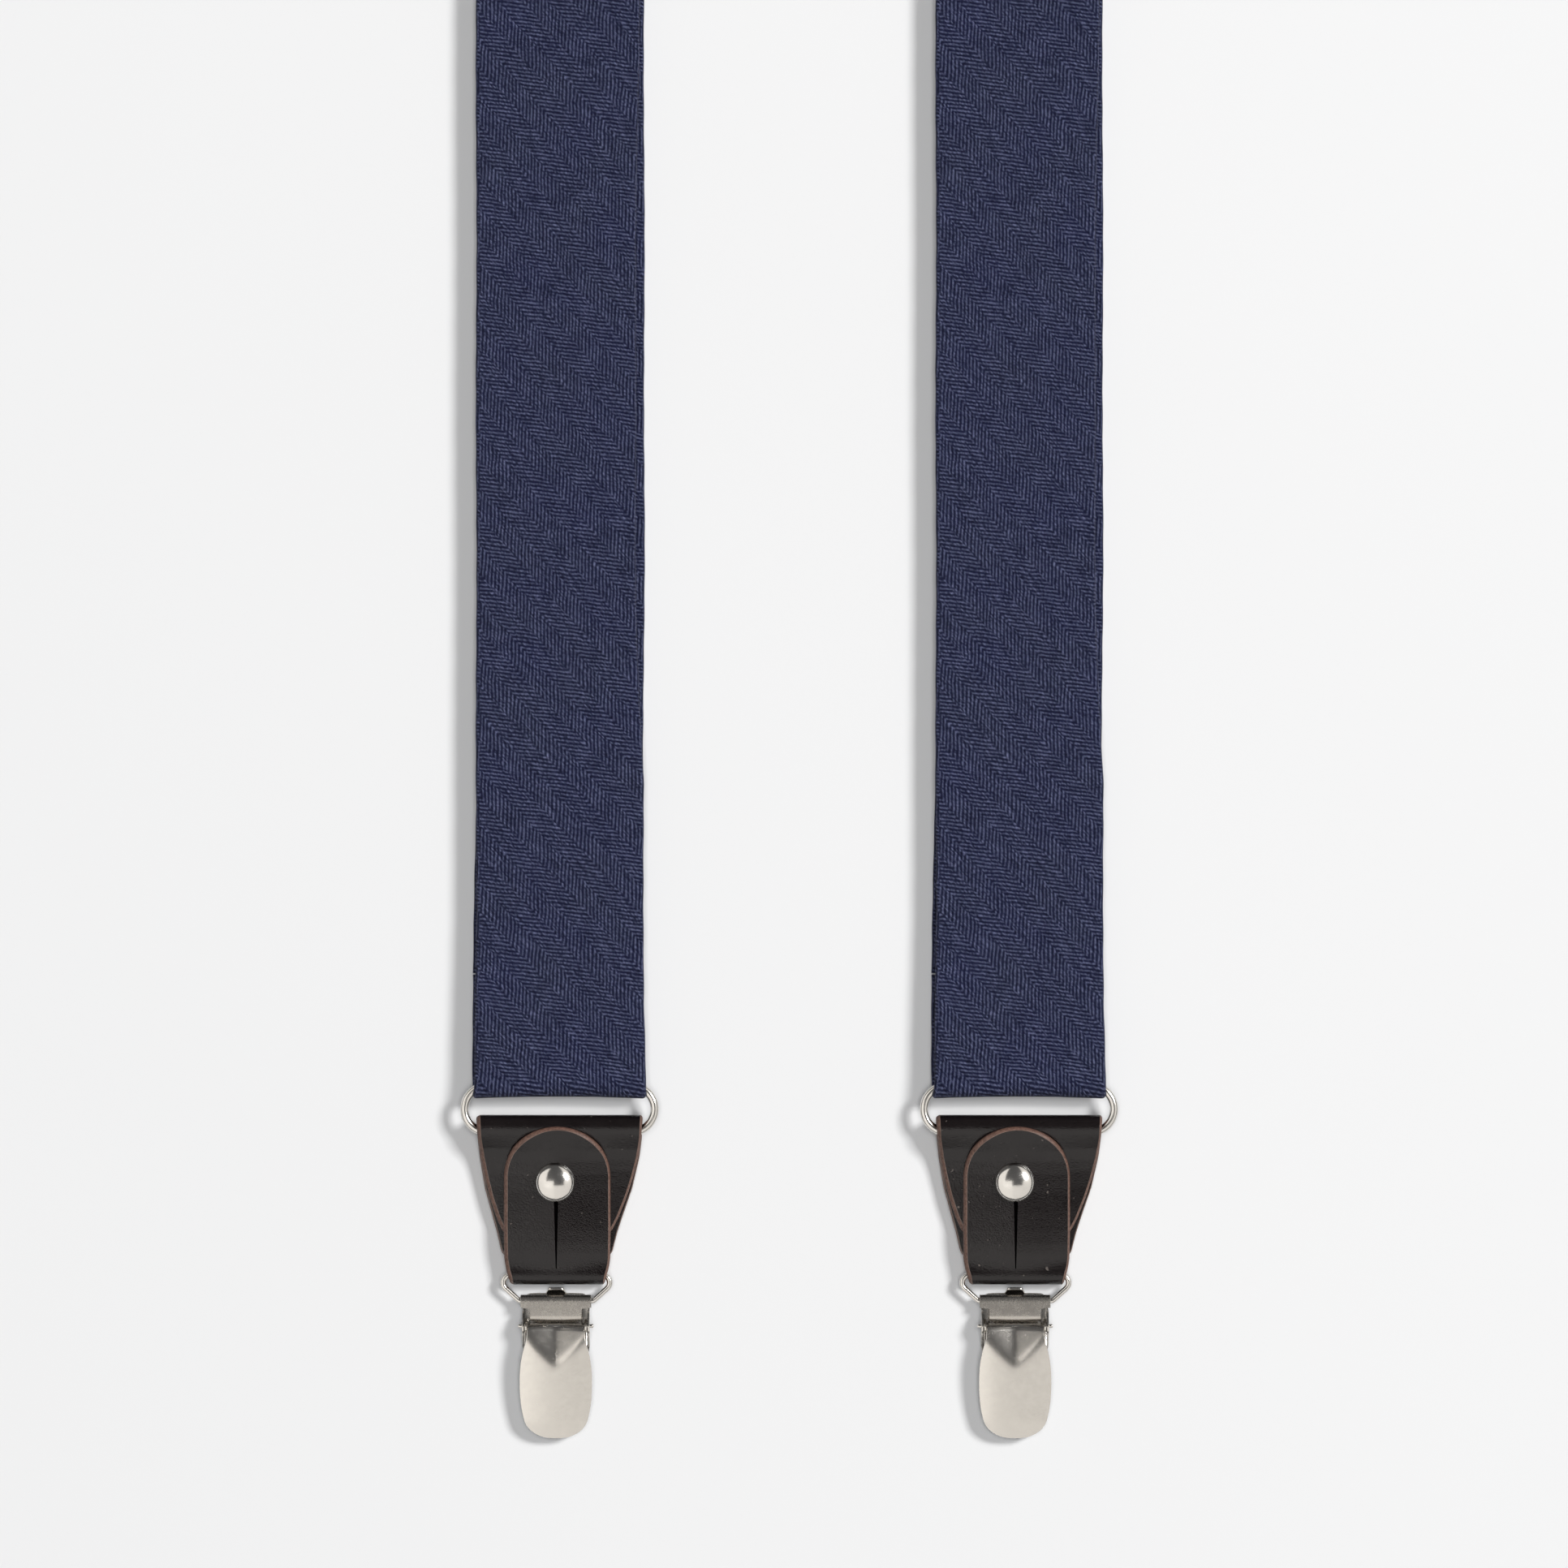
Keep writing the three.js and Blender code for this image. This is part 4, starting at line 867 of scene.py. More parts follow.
def lifter(line, where, shift=0.0, drop=None, lean=0.0):
    """Turns flat points into folded ones: place along the side line by length, then out along its normal.
    drop lowers the sides of the leather; shift and lean move it sideways, lean more and more downwards."""
    s = lengths(line)
    step = directions(line)

    def lift(x, along, h):
        y, z = (np.interp(along, s, v) for v in line.T)
        dy, dz = (np.interp(along, s, v) for v in step.T)
        size = np.hypot(dy, dz)
        y, z = y - h * dz / size, z + h * dy / size
        if drop is not None:
            z = z - drop(x, y)
        return at_end(where, x + shift + lean * smooth(-y, 6, 30), y, z)

    return lift


# %% [markdown]
# ### Leather yokes
# The yoke wraps the ring's lower bar and hangs down on both sides of the tab. Its sides run in from the
# strap's width to the tab's width. The leather is soft, so its sides sink a little below its middle.

# %% Yokes
LEATHER = 1.2
YOKE_FOLD = (-3.875, 2.075)  # place and radius of the fold
YOKE_FRONT_Z, YOKE_BACK_Z, TAB_FRONT_Z, TAB_BACK_Z = 4.2, 2.8, 5.6, 1.4  # middles of the four layers
SAG = 0.058
YOKE_LEAN = -0.6


def sag(x, y):
    """How far leather drops at x: SAG for each millimetre from the middle, none at either fold."""
    reach = smooth(-y, 4.5, 11) * (1 - smooth(-y, 31, 35))
    return reach * SAG * (np.sqrt(x**2 + 0.25) - 0.5)


yoke_line = evenly(
    faired(
        np.concatenate(
            [
                [(-26.3, YOKE_FRONT_Z), (-10.25, YOKE_FRONT_Z)],
                arc(YOKE_FOLD[0], RING_Z, YOKE_FOLD[1], 115, -90, 18),
                [(-6, YOKE_BACK_Z), (-30.9, YOKE_BACK_Z)],
            ]
        )
    ),
    0.25,
)
yoke_s = lengths(yoke_line)
front_y = [-26.3, -22.9, -18.6, -14.4, -10.2, -5.9, -1.8]
front_w = [11.05, 12.7, 14.3, 15.5, 16.45, 17.1, 17.4]
back_y = [-5.9, -10.2, -16.7, -22.5, -25.8, -30.8]
back_w = [17.2, 16.7, 15.4, 13.6, 12.6, 11.4]
falling = yoke_line[: np.argmax(yoke_line[:, 0])]
rising = yoke_line[np.argmax(yoke_line[:, 0]) :]
front_at = np.interp(front_y, falling[:, 0], yoke_s[: len(falling)])
back_at = np.interp(back_y, rising[::-1, 0], yoke_s[len(falling) :][::-1])


def rounded_ends(along, wide, radius=0.8):
    """An outline with a straight cut and small round corners at both ends; wide is its half width."""
    t = np.linspace(along[0], along[-1], 60)
    w = np.interp(t, along, wide)
    keep = (t > along[0] + radius) & (t < along[-1] - radius)
    side = np.stack([t[keep], w[keep]], axis=1)
    (a, w_a), (b, w_b), bit = (along[0], wide[0]), (along[-1], wide[-1]), 0.3 * radius
    first = [(a, 0), (a, w_a - radius), (a + bit, w_a - bit)]
    last = [(b - bit, w_b - bit), (b, w_b - radius), (b, 0)]
    return faired(np.concatenate([first, side, last]), 1)


yoke_outline = evenly(
    rounded_ends(np.concatenate([front_at, back_at]), np.array(front_w + back_w)), 0.45
)
for where in ENDS:
    lift = lifter(yoke_line, where, drop=sag, lean=YOKE_LEAN)
    piece = outlined(f"yoke_{where}", yoke_outline, 8.0, LEATHER, lift)
    finish(piece, leather, "leather", f"leather_{where}", f"leather_yoke_{where}")
print("yoke unfolded:", round(yoke_s[-1], 1), "mm long,", len(piece.data.polygons), "faces")

# %% [markdown]
# ### Leather tabs
# The tab lies over the yoke with a round top, turns under at the clip's bail and comes back behind. A
# buttonhole slit runs down from the stud; it is a narrow V, open under the stud and closing downwards.

# %% Tabs
TAB_HALF, TAB_FOLD_HALF, TAB_SHIFT = 11.15, 10.05, -0.5
TAB_TOP = -3.6
BAIL_Y, BAIL_Z, BAIL_FOLD = -34.75, 2.85, 1.45
STUD_X, STUD_Y = -0.9, -15.3
SLIT_TOP, SLIT_END, SLIT_HALF, HAIRLINE = -17.0, -33.4, 0.5, 0.1
SPINE_X = -0.2  # the slit runs a little to the left of the tab's middle

tab_line = np.concatenate(
    [
        [(TAB_TOP, TAB_BACK_Z), (-20, TAB_BACK_Z)],
        arc(BAIL_Y, BAIL_Z, BAIL_FOLD, 270, 90, 16),
        [(-33.0, TAB_FRONT_Z - 1.3), (-28.4, TAB_FRONT_Z), (-10.56, TAB_FRONT_Z)],
        [(-6.2, 7.62), (-4.9, 8.12), (TAB_TOP, 8.3)],
    ]
)
tab_line = evenly(faired(tab_line), 0.25)
tab_s = lengths(tab_line)
tab_fold = np.argmin(tab_line[:, 0])


def tab_place(y, front):
    """Length along the tab's side line at which it passes y, on the front or on the back."""
    if front:
        return np.interp(y, tab_line[tab_fold:, 0], tab_s[tab_fold:])
    return np.interp(-np.asarray(y), -tab_line[: tab_fold + 1, 0], tab_s[: tab_fold + 1])


quarter = np.radians(np.linspace(0, 90, 24))
arch_in, arch_wide = TAB_HALF * (1 - np.sin(quarter)), TAB_HALF * np.cos(quarter)
arch_front = np.stack([tab_place(TAB_TOP, True) - arch_in, arch_wide], axis=1)
arch_back = np.stack([tab_place(TAB_TOP, False) + arch_in, arch_wide], axis=1)
waist_y = np.array([-30.5, -33.2, -35.2, -36.0])
waist = [TAB_HALF, TAB_HALF - 0.35, TAB_FOLD_HALF + 0.15, TAB_FOLD_HALF - 0.1]
back_side = np.stack([tab_place(waist_y, False), waist], axis=1)
front_side = np.stack([tab_place(waist_y[::-1], True), waist[::-1]], axis=1)
tab_outline = evenly(faired(np.concatenate([arch_back[::-1], back_side, front_side, arch_front]), 1), 0.4)
slit_from, slit_to = tab_place(SLIT_END, True), tab_place(SLIT_TOP, True)


def buttonhole(along):
    """Half width and depth of the slit at each place: widest under the stud, closing to a hairline."""
    inside = (along > slit_from) & (along < slit_to)
    share = np.clip((along - slit_from) / (slit_to - slit_from), 0, 1)
    return inside * (HAIRLINE + (SLIT_HALF - HAIRLINE) * share), inside * (LEATHER - 0.15)


for where in ENDS:
    lift = lifter(tab_line, where, shift=TAB_SHIFT, drop=lambda x, y: sag(x - SPINE_X, y))
    cut = {"slit": buttonhole, "spine_x": SPINE_X}
    piece = outlined(f"tab_{where}", tab_outline, TAB_HALF, LEATHER, lift, columns=14, **cut)
    finish(piece, leather, "leather", f"leather_{where}", f"leather_tab_{where}")
print("tab unfolded:", round(tab_s[-1], 1), "mm long,", len(piece.data.polygons), "faces")

# %% [markdown]
# ## Wires
# Rings, bails, pins and adjuster bars are round wire bent to a loop or cut straight. A wire is a circle
# carried along a path; at every point the circle stands square to the path.

# %% Wires
def wire(name, path, radius, closed=True, sides=16, up=(0, 0, 1)):
    """A round wire along a path: point = path + radius * (cos a * side + sin a * up). Open ends are domed."""
    path = np.asarray(path, float)
    radii = np.full(len(path), float(radius))
    if closed:
        step = np.roll(path, -1, axis=0) - np.roll(path, 1, axis=0)
    else:
        t = np.radians(np.linspace(0, 75, 5))[::-1]
        first, last = path[0], path[-1]
        d0, d1 = path[1] - first, last - path[-2]
        d0, d1 = d0 / np.linalg.norm(d0), d1 / np.linalg.norm(d1)
        head = first - d0 * radius * 0.7 * np.sin(t)[:, None]
        tail = last + d1 * radius * 0.7 * np.sin(t[::-1])[:, None]
        path = np.concatenate(
            [first[None] - d0 * radius * 0.7, head, path, tail, last[None] + d1 * radius * 0.7]
        )
        radii = np.concatenate([[0], radius * np.cos(t), radii, radius * np.cos(t[::-1]), [0]])
        step = np.gradient(path, axis=0)
    step /= np.linalg.norm(step, axis=1)[:, None]
    side = np.cross(step, np.broadcast_to(up, step.shape))
    side /= np.linalg.norm(side, axis=1)[:, None]
    top = np.cross(side, step)
    a = np.radians(np.arange(sides) * 360 / sides)
    points = path[:, None] + radii[:, None, None] * (
        np.cos(a)[None, :, None] * side[:, None] + np.sin(a)[None, :, None] * top[:, None]
    )
    return skin(name, points * MM, loop_rows=closed, loop_columns=True, sharp=75)


def rounded_loop(corners, radii, steps=14, straight=12):
    """A closed flat loop: each corner is an arc that touches both of its sides."""
    corners = np.asarray(corners, float)
    path = []
    for k, radius in enumerate(radii):
        p, a, b = corners[k], corners[k - 1], corners[(k + 1) % len(corners)]
        u, v = (a - p) / np.linalg.norm(a - p), (b - p) / np.linalg.norm(b - p)
        half = math.acos(float(np.clip(u @ v, -1, 1))) / 2
        reach = radius / math.tan(half)
        middle = (u + v) / np.linalg.norm(u + v)
        hub = p + middle * radius / math.sin(half)
        begin, end = p + u * reach - hub, p + v * reach - hub
        start = math.atan2(begin[1], begin[0])
        sweep = (math.atan2(end[1], end[0]) - start + math.pi) % (2 * math.pi) - math.pi
        angle = start + sweep * np.linspace(0, 1, steps + 1)
        path.append(hub + radius * np.stack([np.cos(angle), np.sin(angle)], axis=1))
    loop = np.concatenate(path)
    joints = np.concatenate([loop, loop[:1]])
    return evenly(joints, lengths(joints)[-1] / (straight * len(radii) * 2))[:-1]


RING_BAR, RING_X, RING_WIRE = 4.875, 19.875, 1.75
BAIL_WIRE, BAIL_SHIFT = 1.2, -0.7
HINGE_Y = BAIL_Y - 5.45
BAIL_TOP_X, BAIL_LOW_X = 13.8, 7.75
BAIL_CORNERS = [1.65, 1.65, 0.825, 0.825]
ring_path = rounded_loop(
    [(-RING_X, RING_BAR), (RING_X, RING_BAR), (RING_X, -RING_BAR), (-RING_X, -RING_BAR)],
    [RING_BAR - 0.01] * 4,
    straight=20,
)
bail_path = rounded_loop(
    [(-BAIL_TOP_X, BAIL_Y), (BAIL_TOP_X, BAIL_Y), (BAIL_LOW_X, HINGE_Y), (-BAIL_LOW_X, HINGE_Y)],
    BAIL_CORNERS,
    straight=24,
)
for where in ENDS:
    path = at_end(where, ring_path[:, 0], ring_path[:, 1], RING_Z) / MM
    ring = wire(f"ring_wire_{where}", path, RING_WIRE / 2, sides=24)
    finish(ring, bright_nickel, "nickel", f"ring_{where}", f"ring_{where}")
    path = at_end(where, bail_path[:, 0] + BAIL_SHIFT, bail_path[:, 1], BAIL_Z) / MM
    bail = wire(f"bail_wire_{where}", path, BAIL_WIRE / 2)
    finish(bail, bright_nickel, "nickel", f"bail_{where}", f"clip_bail_{where}")

# %% [markdown]
# ### Adjusters
# The adjuster is a wire frame with a centre bar. Its two outer bars lie across the strap's face, and its side
# rails dip down beside the strap to the centre bar underneath, which the sewn loop holds.

# %% Adjusters
RAIL_X, OUTER_Y, OUTER_Z = 18.9, 8.0, 7.3
FRAME_WIRE, BAR_WIRE = 0.8, 0.6  # radii
frame_plan = rounded_loop(
    [(-RAIL_X, OUTER_Y), (RAIL_X, OUTER_Y), (RAIL_X, -OUTER_Y), (-RAIL_X, -OUTER_Y)], [2.0] * 4, straight=20
)
rail_y, rail_z = [0, 1.5, 4, 6.5, OUTER_Y], [SLIDER_Z, SLIDER_Z + 0.25, 4.3, 6.5, OUTER_Z]
dip = np.interp(np.abs(frame_plan[:, 1]), rail_y, rail_z)
for side in ("left", "right"):
    low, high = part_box(f"slider_frame_{side}")
    cx, cy = (low.x + high.x) / 2 / MM, (low.y + high.y) / 2 / MM
    path = np.stack([cx + frame_plan[:, 0], cy + frame_plan[:, 1], dip], axis=1)
    outer = wire(f"adjuster_{side}", path, FRAME_WIRE, sides=14)
    bar = np.array([(cx + x, cy, SLIDER_Z) for x in (-RAIL_X, -6, 6, RAIL_X)])
    piece = together(f"adjuster_{side}", [outer, wire(f"adjuster_bar_{side}", bar, BAR_WIRE, closed=False)])
    finish(piece, bright_nickel, "nickel", f"slider_{side}", f"slider_frame_{side}")

# %% [markdown]
# ## Studs
# The stud is turned: a profile of radius and height is carried round the post's axis. Its head is a shallow
# dome with a thin rim, and a flat disc is riveted on at the back.

# %% Studs
def turned(name, profile, where, x, y, sides=48, sharp=40):
    """A turned piece: point = (x + r cos a, y + r sin a, z) for each radius and height of the profile."""
    profile = np.asarray(profile, float)
    a = np.radians(np.arange(sides) * 360 / sides)
    r, z = profile[:, :1], profile[:, 1:]
    points = at_end(where, x + r * np.cos(a), y + r * np.sin(a), z + 0 * a)
    return skin(name, points, loop_columns=True, sharp=sharp)


STUD_R, STUD_HEAD_Z, STUD_TOP = 4.12, 6.4, 8.4
dome_t = np.radians(np.linspace(8, 90, 14))
dome_low = STUD_HEAD_Z + 0.12
dome = np.stack([STUD_R * np.cos(dome_t), dome_low + (STUD_TOP - dome_low) * np.sin(dome_t)], axis=1)
dome[-1, 0] = 0
head = [
    (0, 0.9), (1.85, 0.9), (2.0, 1.05), (2.0, STUD_HEAD_Z), (3.9, STUD_HEAD_Z),
    (STUD_R - 0.04, STUD_HEAD_Z + 0.04), (STUD_R, STUD_HEAD_Z + 0.14),
    *dome.tolist(),
]
disc = [(0, 0.02), (2.6, 0.0), (3.6, 0.04), (3.95, 0.2), (3.98, 0.35), (3.8, 0.56), (3.4, 0.6), (0, 0.6)]
for where in ENDS:
    for part, profile, node in (("head", head, "stud"), ("disc", disc, "stud_base")):
        piece = turned(f"stud_{part}_{where}", profile, where, STUD_X, STUD_Y)
        finish(piece, bright_nickel, "nickel", f"leather_{where}", f"{node}_{where}")

# %% [markdown]
# ## Clips
# The clip is pressed from sheet. Base plate, tongue, pad and lever are sheets over an outline, like the
# leather, and the ears are small plates standing upright. A grip pad of pale plastic lies near the end.

# %% Base plates, pads and pins
CLIP_SHIFT = -0.8
PIN_Y, PIN_Z = HINGE_Y - 5.2, 3.95
PIN_HALF, PIN_RADIUS = 7.65, 0.44


def slab(name, where, outline, x0, x1):
    """A flat plate standing upright: an outline of y and z, pushed from x0 to x1, with its rim rounded."""
    outline = np.asarray(outline, float)
    middle = outline.mean(axis=0)
    b = min(0.1, (x1 - x0) / 4)
    rows = [(x0, 0.0), (x0, 0.9), (x0 + b, 1.0), (x1 - b, 1.0), (x1, 0.9), (x1, 0.0)]
    x = np.array([r[0] for r in rows])[:, None] + 0 * outline[:, 0]
    grow = np.array([r[1] for r in rows])[:, None]
    y, z = (middle[k] + (outline[:, k] - middle[k]) * grow for k in (0, 1))
    return skin(name, at_end(where, x + CLIP_SHIFT, y, z), loop_columns=True, sharp=30)


BASE_TOP = HINGE_Y + 1.55
base_outline = [
    (0, 0), (0, 5.6), (0.3, 6.15), (1.4, 6.6), (2.3, 7.1), (11.4, 7.1), (13.6, 6.6), (22, 6.4), (26, 6.0),
    (28.4, 4.8), (29.5, 2.6), (29.75, 0),
]
base_outline = evenly(faired(np.array(base_outline, float), 2), 0.5)
tongue_outline = [(0, 0), (0, 2.1), (0.4, 2.15), (3.0, 1.65), (3.3, 1.3), (3.3, 0)]
tongue_outline = evenly(faired(np.array(tongue_outline, float), 2), 0.15)
TONGUE_LEAN = math.radians(66)
ear = [
    (-9.9, 0.1), (-9.9, 0.9), (-8.4, 2.4), (-6.6, 4.7), (-5.6, 5.22), (-4.6, 5.2),
    (-3.4, 4.6), (-1.8, 3.3), (-1.7, 0.1),
]
ear = faired(np.array(ear + ear[:1], float) + (HINGE_Y, 0), 1)[:-1]


def plate_lift(where):
    """The base plate lies flat just above the table."""

    def lift(x, along, h):
        return at_end(where, x + CLIP_SHIFT, BASE_TOP - along, h + 0.3)

    return lift


pad_outline = [(0, 0), (0, 5.1), (0.4, 5.5), (3.6, 5.5), (5.4, 4.6), (6.4, 3.0), (6.6, 0)]
pad_outline = evenly(faired(np.array(pad_outline, float), 2), 0.4)


def pad_lift(where):
    """The pad's face has shallow cross ribs, a wave of 0.07 mm along it, which grip the cloth."""

    def lift(x, along, h):
        rib = 0.07 * (h > 0.2) * np.sin(along * 2 * math.pi / 1.1)
        return at_end(where, x + CLIP_SHIFT, HINGE_Y - 21.4 - along, h + 1.1 + rib)

    return lift


def tongue_lift(where):
    """The tongue stands up from the plate's upper edge and leans back over the bail."""
    c, s = math.cos(TONGUE_LEAN), math.sin(TONGUE_LEAN)

    def lift(x, along, h):
        return at_end(where, x + CLIP_SHIFT, BASE_TOP - 0.25 + along * c - h * s, 0.35 + along * s + h * c)

    return lift


for where in ENDS:
    parts = [
        outlined(f"clip_plate_{where}", base_outline, 6.0, 0.6, plate_lift(where), rim=0.08),
        outlined(f"clip_tongue_{where}", tongue_outline, 1.4, 0.5, tongue_lift(where), rim=0.07, columns=5),
        slab(f"ear_left_{where}", where, ear, -7.1, -6.6),
        slab(f"ear_right_{where}", where, ear, 6.6, 7.1),
    ]
    plate = together(f"clip_plate_{where}", parts)
    finish(plate, sheet_nickel, "satin_nickel", f"clip_{where}", f"clip_base_{where}")
    pad = outlined(f"clip_pad_{where}", pad_outline, 2.5, 0.6, pad_lift(where), rim=0.14, columns=6)
    finish(pad, grip_plastic, "grip_plastic", f"clip_{where}", f"clip_grip_pad_{where}")
    pin = at_end(where, CLIP_SHIFT + np.linspace(-PIN_HALF, PIN_HALF, 9), PIN_Y, PIN_Z) / MM
    axle = wire(f"clip_axle_{where}", pin, PIN_RADIUS, closed=False)
    finish(axle, bright_nickel, "nickel", f"clip_{where}", f"clip_pin_{where}")

# %% [markdown]
# ### Jaws
# The sprung jaw is rolled round the bail's bar, steps in at the shoulders, dips under the pin and ends in
# teeth over the pad.

# %% Jaws
PLATE = 0.5  # thickness of the jaw and of the lever
ROLL = 1.05
JAW_Z = 2.4
BREAK = 0.1  # how much of a sheet's corners is broken
jaw_top = BAIL_Z + ROLL
jaw_line = np.concatenate(
    [
        arc(HINGE_Y, BAIL_Z, ROLL, -110, 90, 16),
        [(HINGE_Y - 3.2, jaw_top), (PIN_Y + 1.65, jaw_top - 0.05)],
        [(PIN_Y + 1.0, jaw_top - 0.6), (PIN_Y + 0.7, JAW_Z + 0.45)],
        [(PIN_Y + 0.1, JAW_Z), (HINGE_Y - 26.2, JAW_Z), (HINGE_Y - 26.8, JAW_Z - 0.2)],
    ]
)
jaw_line = evenly(faired(jaw_line, 1), 0.25)
jaw_s = lengths(jaw_line)
TEETH = 6
ROLL_HALF, JAW_HALF = 7.4, 5.45  # half widths of the roll and of the jaw below its shoulders


def sheet_metal(name, where, line, half_width, shift, thick, shape, columns=40):
    """A pressed sheet along a side line: half_width gives its width at each row. Point = line + normal * h,
    across from -half_width to half_width, with the corners of its section broken; shape bends the points."""
    step = directions(line)
    across = np.concatenate([np.linspace(-1, 1, columns), np.linspace(1, -1, columns)])
    high = np.concatenate([np.ones(columns), -np.ones(columns)])
    side = np.abs(across) == 1
    flat = across * (columns - 1) / (columns - 3)
    x = np.where(side, half_width[:, None] * across, (half_width[:, None] - BREAK) * flat)
    h = (high * thick / 2 + 0 * x) * np.where(side, 1 - 2 * BREAK / thick, 1)
    y = line[:, :1] - h * step[:, 1:]
    z = line[:, 1:] + h * step[:, :1]
    rows = np.stack(shape(x, y, z), axis=-1)
    middle = (rows[:, :columns] + rows[:, columns:][:, ::-1]) / 2
    cap = np.concatenate([middle, middle[:, ::-1]], axis=1)
    rows = np.concatenate([cap[:1], rows, cap[-1:]])
    points = at_end(where, rows[..., 0] + shift, rows[..., 1], rows[..., 2])
    return skin(name, points, loop_columns=True, sharp=42)


def jaw_teeth(x, y, z):
    """Bends the last rows down into points: a zigzag across, deepest at the very tip."""
    tip = smooth(-(y - HINGE_Y), 25.9, 26.7)
    zigzag = np.abs((x / (2 * JAW_HALF / TEETH)) % 1 - 0.5) * 2
    return x, y, z - tip * (0.05 + 0.45 * zigzag)


AFTER_ROLL = 20  # the first rows, which go round the bail, are left out of the search for the shoulders
shoulder = np.interp(-(HINGE_Y - 1.55), -jaw_line[AFTER_ROLL:, 0], jaw_s[AFTER_ROLL:])
jaw_half = np.where(jaw_s < shoulder, ROLL_HALF, JAW_HALF)
for where in ENDS:
    piece = sheet_metal(f"clip_jaw_sheet_{where}", where, jaw_line, jaw_half, CLIP_SHIFT, PLATE, jaw_teeth)
    finish(piece, worn_nickel, "satin_nickel", f"jaw_{where}", f"clip_jaw_{where}")

# %% [markdown]
# ### Levers
# The lever is one pressed cover: crowned from side to side and from end to end, pinched down to a lip in
# front of the pin, so that a dark V of reflection runs from the lip towards its middle. Two lugs hang on
# the pin and a cam presses on the jaw.

# %% Levers
LIP_Y = PIN_Y - 0.6
lever_y = [-0.0, -0.4, -2.2, -4.7, -8.0, -11.7, -15.8, -18.9, -20.1, -21.2, -22.2, -22.7, -22.85, -22.9]
lever_w = [6.03, 6.03, 6.1, 6.95, 7.5, 7.62, 7.4, 6.75, 6.3, 5.4, 4.0, 2.5, 1.3, 0.0]
lever_outline = faired(np.stack([lever_y, lever_w], axis=1)[:-2], 2)
lip = [(0.85, 0.0), (0.85, 3.0), (0.85, 5.7), (0.65, 5.98)]
lever_outline = np.concatenate([lip, lever_outline, [(-22.88, 1.2), (-22.9, 0.0)]])
lever_outline = evenly(lever_outline * (-1, 1), 0.35)


def lever_height(x, y):
    """Height of the lever's face: a plate that slopes down to the lower end and is crowned from side to side,
    less a ramp that begins 8 - sqrt(x^2 + 0.8) mm from the lip and grows towards it, and a curl, stronger near
    the corners, that turns the lip down. Ramp and curl both have the form log(1 + e^t)."""
    back = LIP_Y - y
    face = 6.22 - 0.10 * back - 0.005 * x**2 - 0.00006 * x**4 - 0.6 * smooth(back, 19, 25)
    start = 8.0 - np.sqrt(x**2 + 0.8)
    ramp = np.logaddexp(0, (start - back) * 1.2) / 1.2
    curl = np.logaddexp(0, (-0.1 - back) * 9) / 9
    return face - 0.21 * ramp - (0.85 + 0.018 * x**2) * curl


def lever_lift(where):
    """Puts the flat sheet on the lever's face, and its thickness along the face's normal."""

    def lift(x, along, h):
        y = LIP_Y - along
        d = 0.02
        z = lever_height(x, y)
        sx = (lever_height(x + d, y) - z) / d
        sy = (lever_height(x, y + d) - z) / d
        n = np.sqrt(sx**2 + sy**2 + 1)
        return at_end(where, x - h * sx / n + CLIP_SHIFT, y - h * sy / n, z + h / n - PLATE / 2)

    return lift


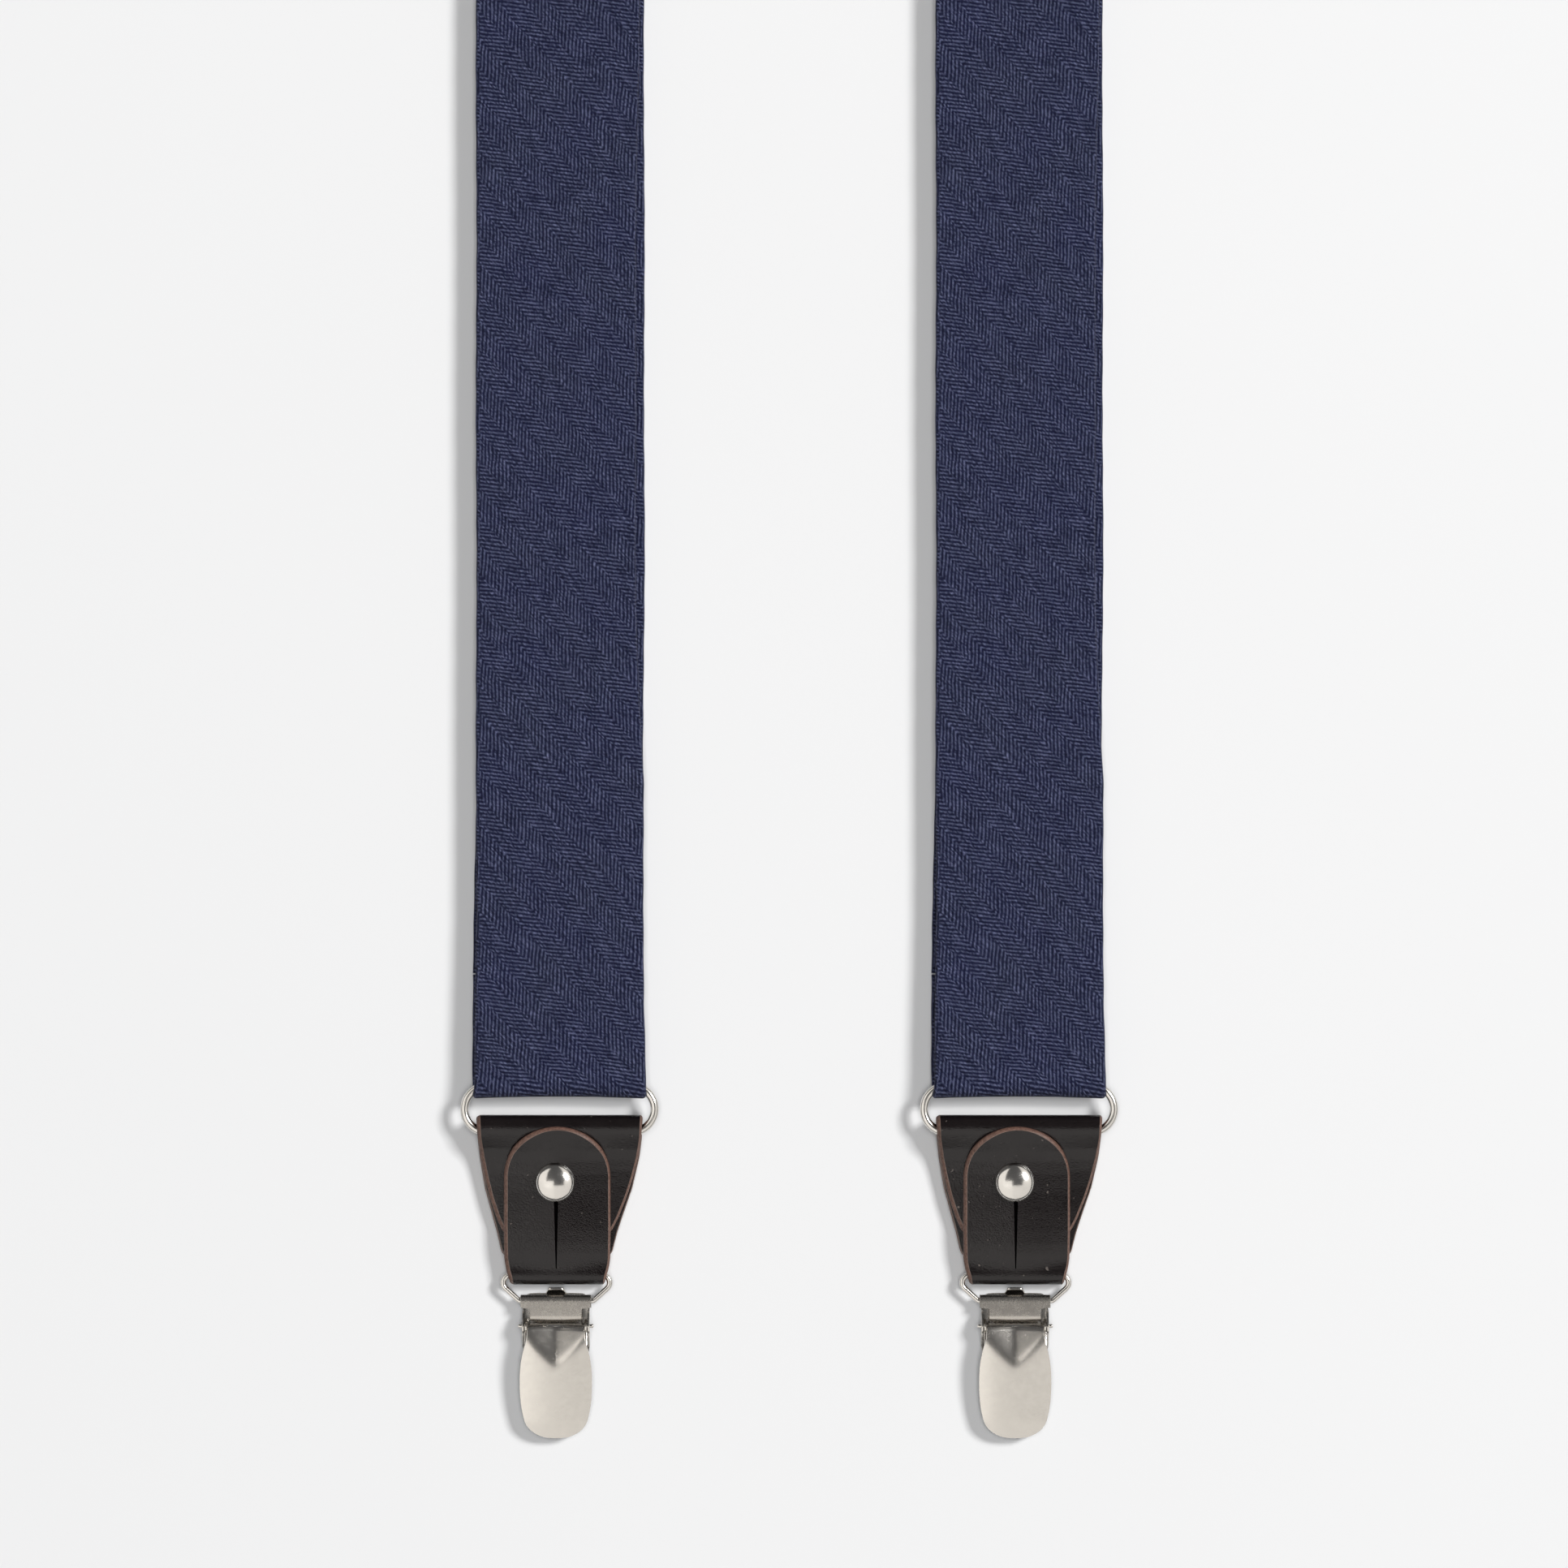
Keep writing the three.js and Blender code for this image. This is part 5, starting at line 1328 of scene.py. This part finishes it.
lug = arc(PIN_Y, PIN_Z, 1.5, 70, 290, 14).tolist() + [(PIN_Y + 1.2, PIN_Z - 0.9), (PIN_Y + 1.5, PIN_Z)]
web = [(PIN_Y, PIN_Z - 0.5), (PIN_Y - 0.7, PIN_Z + 0.75)]
web += [(LIP_Y - y, z) for y, z in ((2.6, 5.0), (3.4, 5.2), (3.2, 4.3), (2.0, 3.5))]
cam = [(LIP_Y - y, z) for y, z in ((0.15, 4.55), (0.15, 3.05), (0.5, 2.97), (1.15, 3.0), (1.5, 4.6))]
for where in ENDS:
    lift = lever_lift(where)
    parts = [outlined(f"clip_cover_{where}", lever_outline, 5.0, PLATE, lift, rim=0.1, columns=20)]
    for sign in (-1, 1):
        inner, outer = sorted((sign * 6.0, sign * 6.5))
        parts.append(slab(f"lug_{where}_{sign}", where, lug, inner, outer))
        parts.append(slab(f"web_{where}_{sign}", where, web, inner, outer))
    parts.append(slab(f"cam_{where}", where, cam, -4.45, 4.45))
    cover = together(f"clip_cover_{where}", parts)
    finish(cover, sheet_nickel, "satin_nickel", f"lever_{where}", f"clip_lever_{where}")

# %% [markdown]
# ## Back patch
# Two plies of leather hold the straps and the elastic between them, sewn all round near the edge.

# %% Back patch
patch_low, patch_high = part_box("back_patch_top")
PATCH_FROM = patch_low.y / MM
SEAM_IN = 2.6  # from the patch's edge to its seam
patch_outline = np.array(
    [
        (0, 0), (0, 30), (0, 36), (1.2, 40.5), (6, 42), (14, 41.8), (24, 38), (33, 29), (42, 23.5), (52, 21.6),
        (58.5, 21.5), (62.8, 20.3), (64, 15.5), (64, 8), (64, 0),
    ],
    float,
)
patch_outline = evenly(faired(patch_outline, 3), 1.0)


def flat_lift(z0):
    """A ply lies flat, its middle at height z0."""
    return lambda x, along, h: np.stack([x * MM, (PATCH_FROM + along) * MM, (z0 + h) * MM], axis=-1)


for ply, node in (("top", "back_patch_top"), ("under", "back_patch_under")):
    low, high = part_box(node)
    middle = (low.z + high.z) / 2 / MM
    piece = outlined(f"patch_{ply}", patch_outline, 14.0, LEATHER, flat_lift(middle), rim=0.5)
    finish(piece, leather, "leather", "straps", node)
tangent = directions(patch_outline)
sewn = patch_outline - SEAM_IN * np.stack([-tangent[:, 1], tangent[:, 0]], axis=1)
sewn = sewn[sewn[:, 1] > 0]
seam_path = np.concatenate([sewn, sewn[::-1] * (1, -1)])
rows = []
for name, z, up in (("seam_patch_top", patch_high.z / MM - 0.06, 1), ("seam_patch_low", SEAM_LOW_Z, -1)):
    path = np.stack([seam_path[:, 1], PATCH_FROM + seam_path[:, 0], np.full(len(seam_path), z)], axis=1)
    rows.append(stitches(name, path, (0, 0, up)))
finish(together("seam_patch", rows), thread, "leather", "straps")
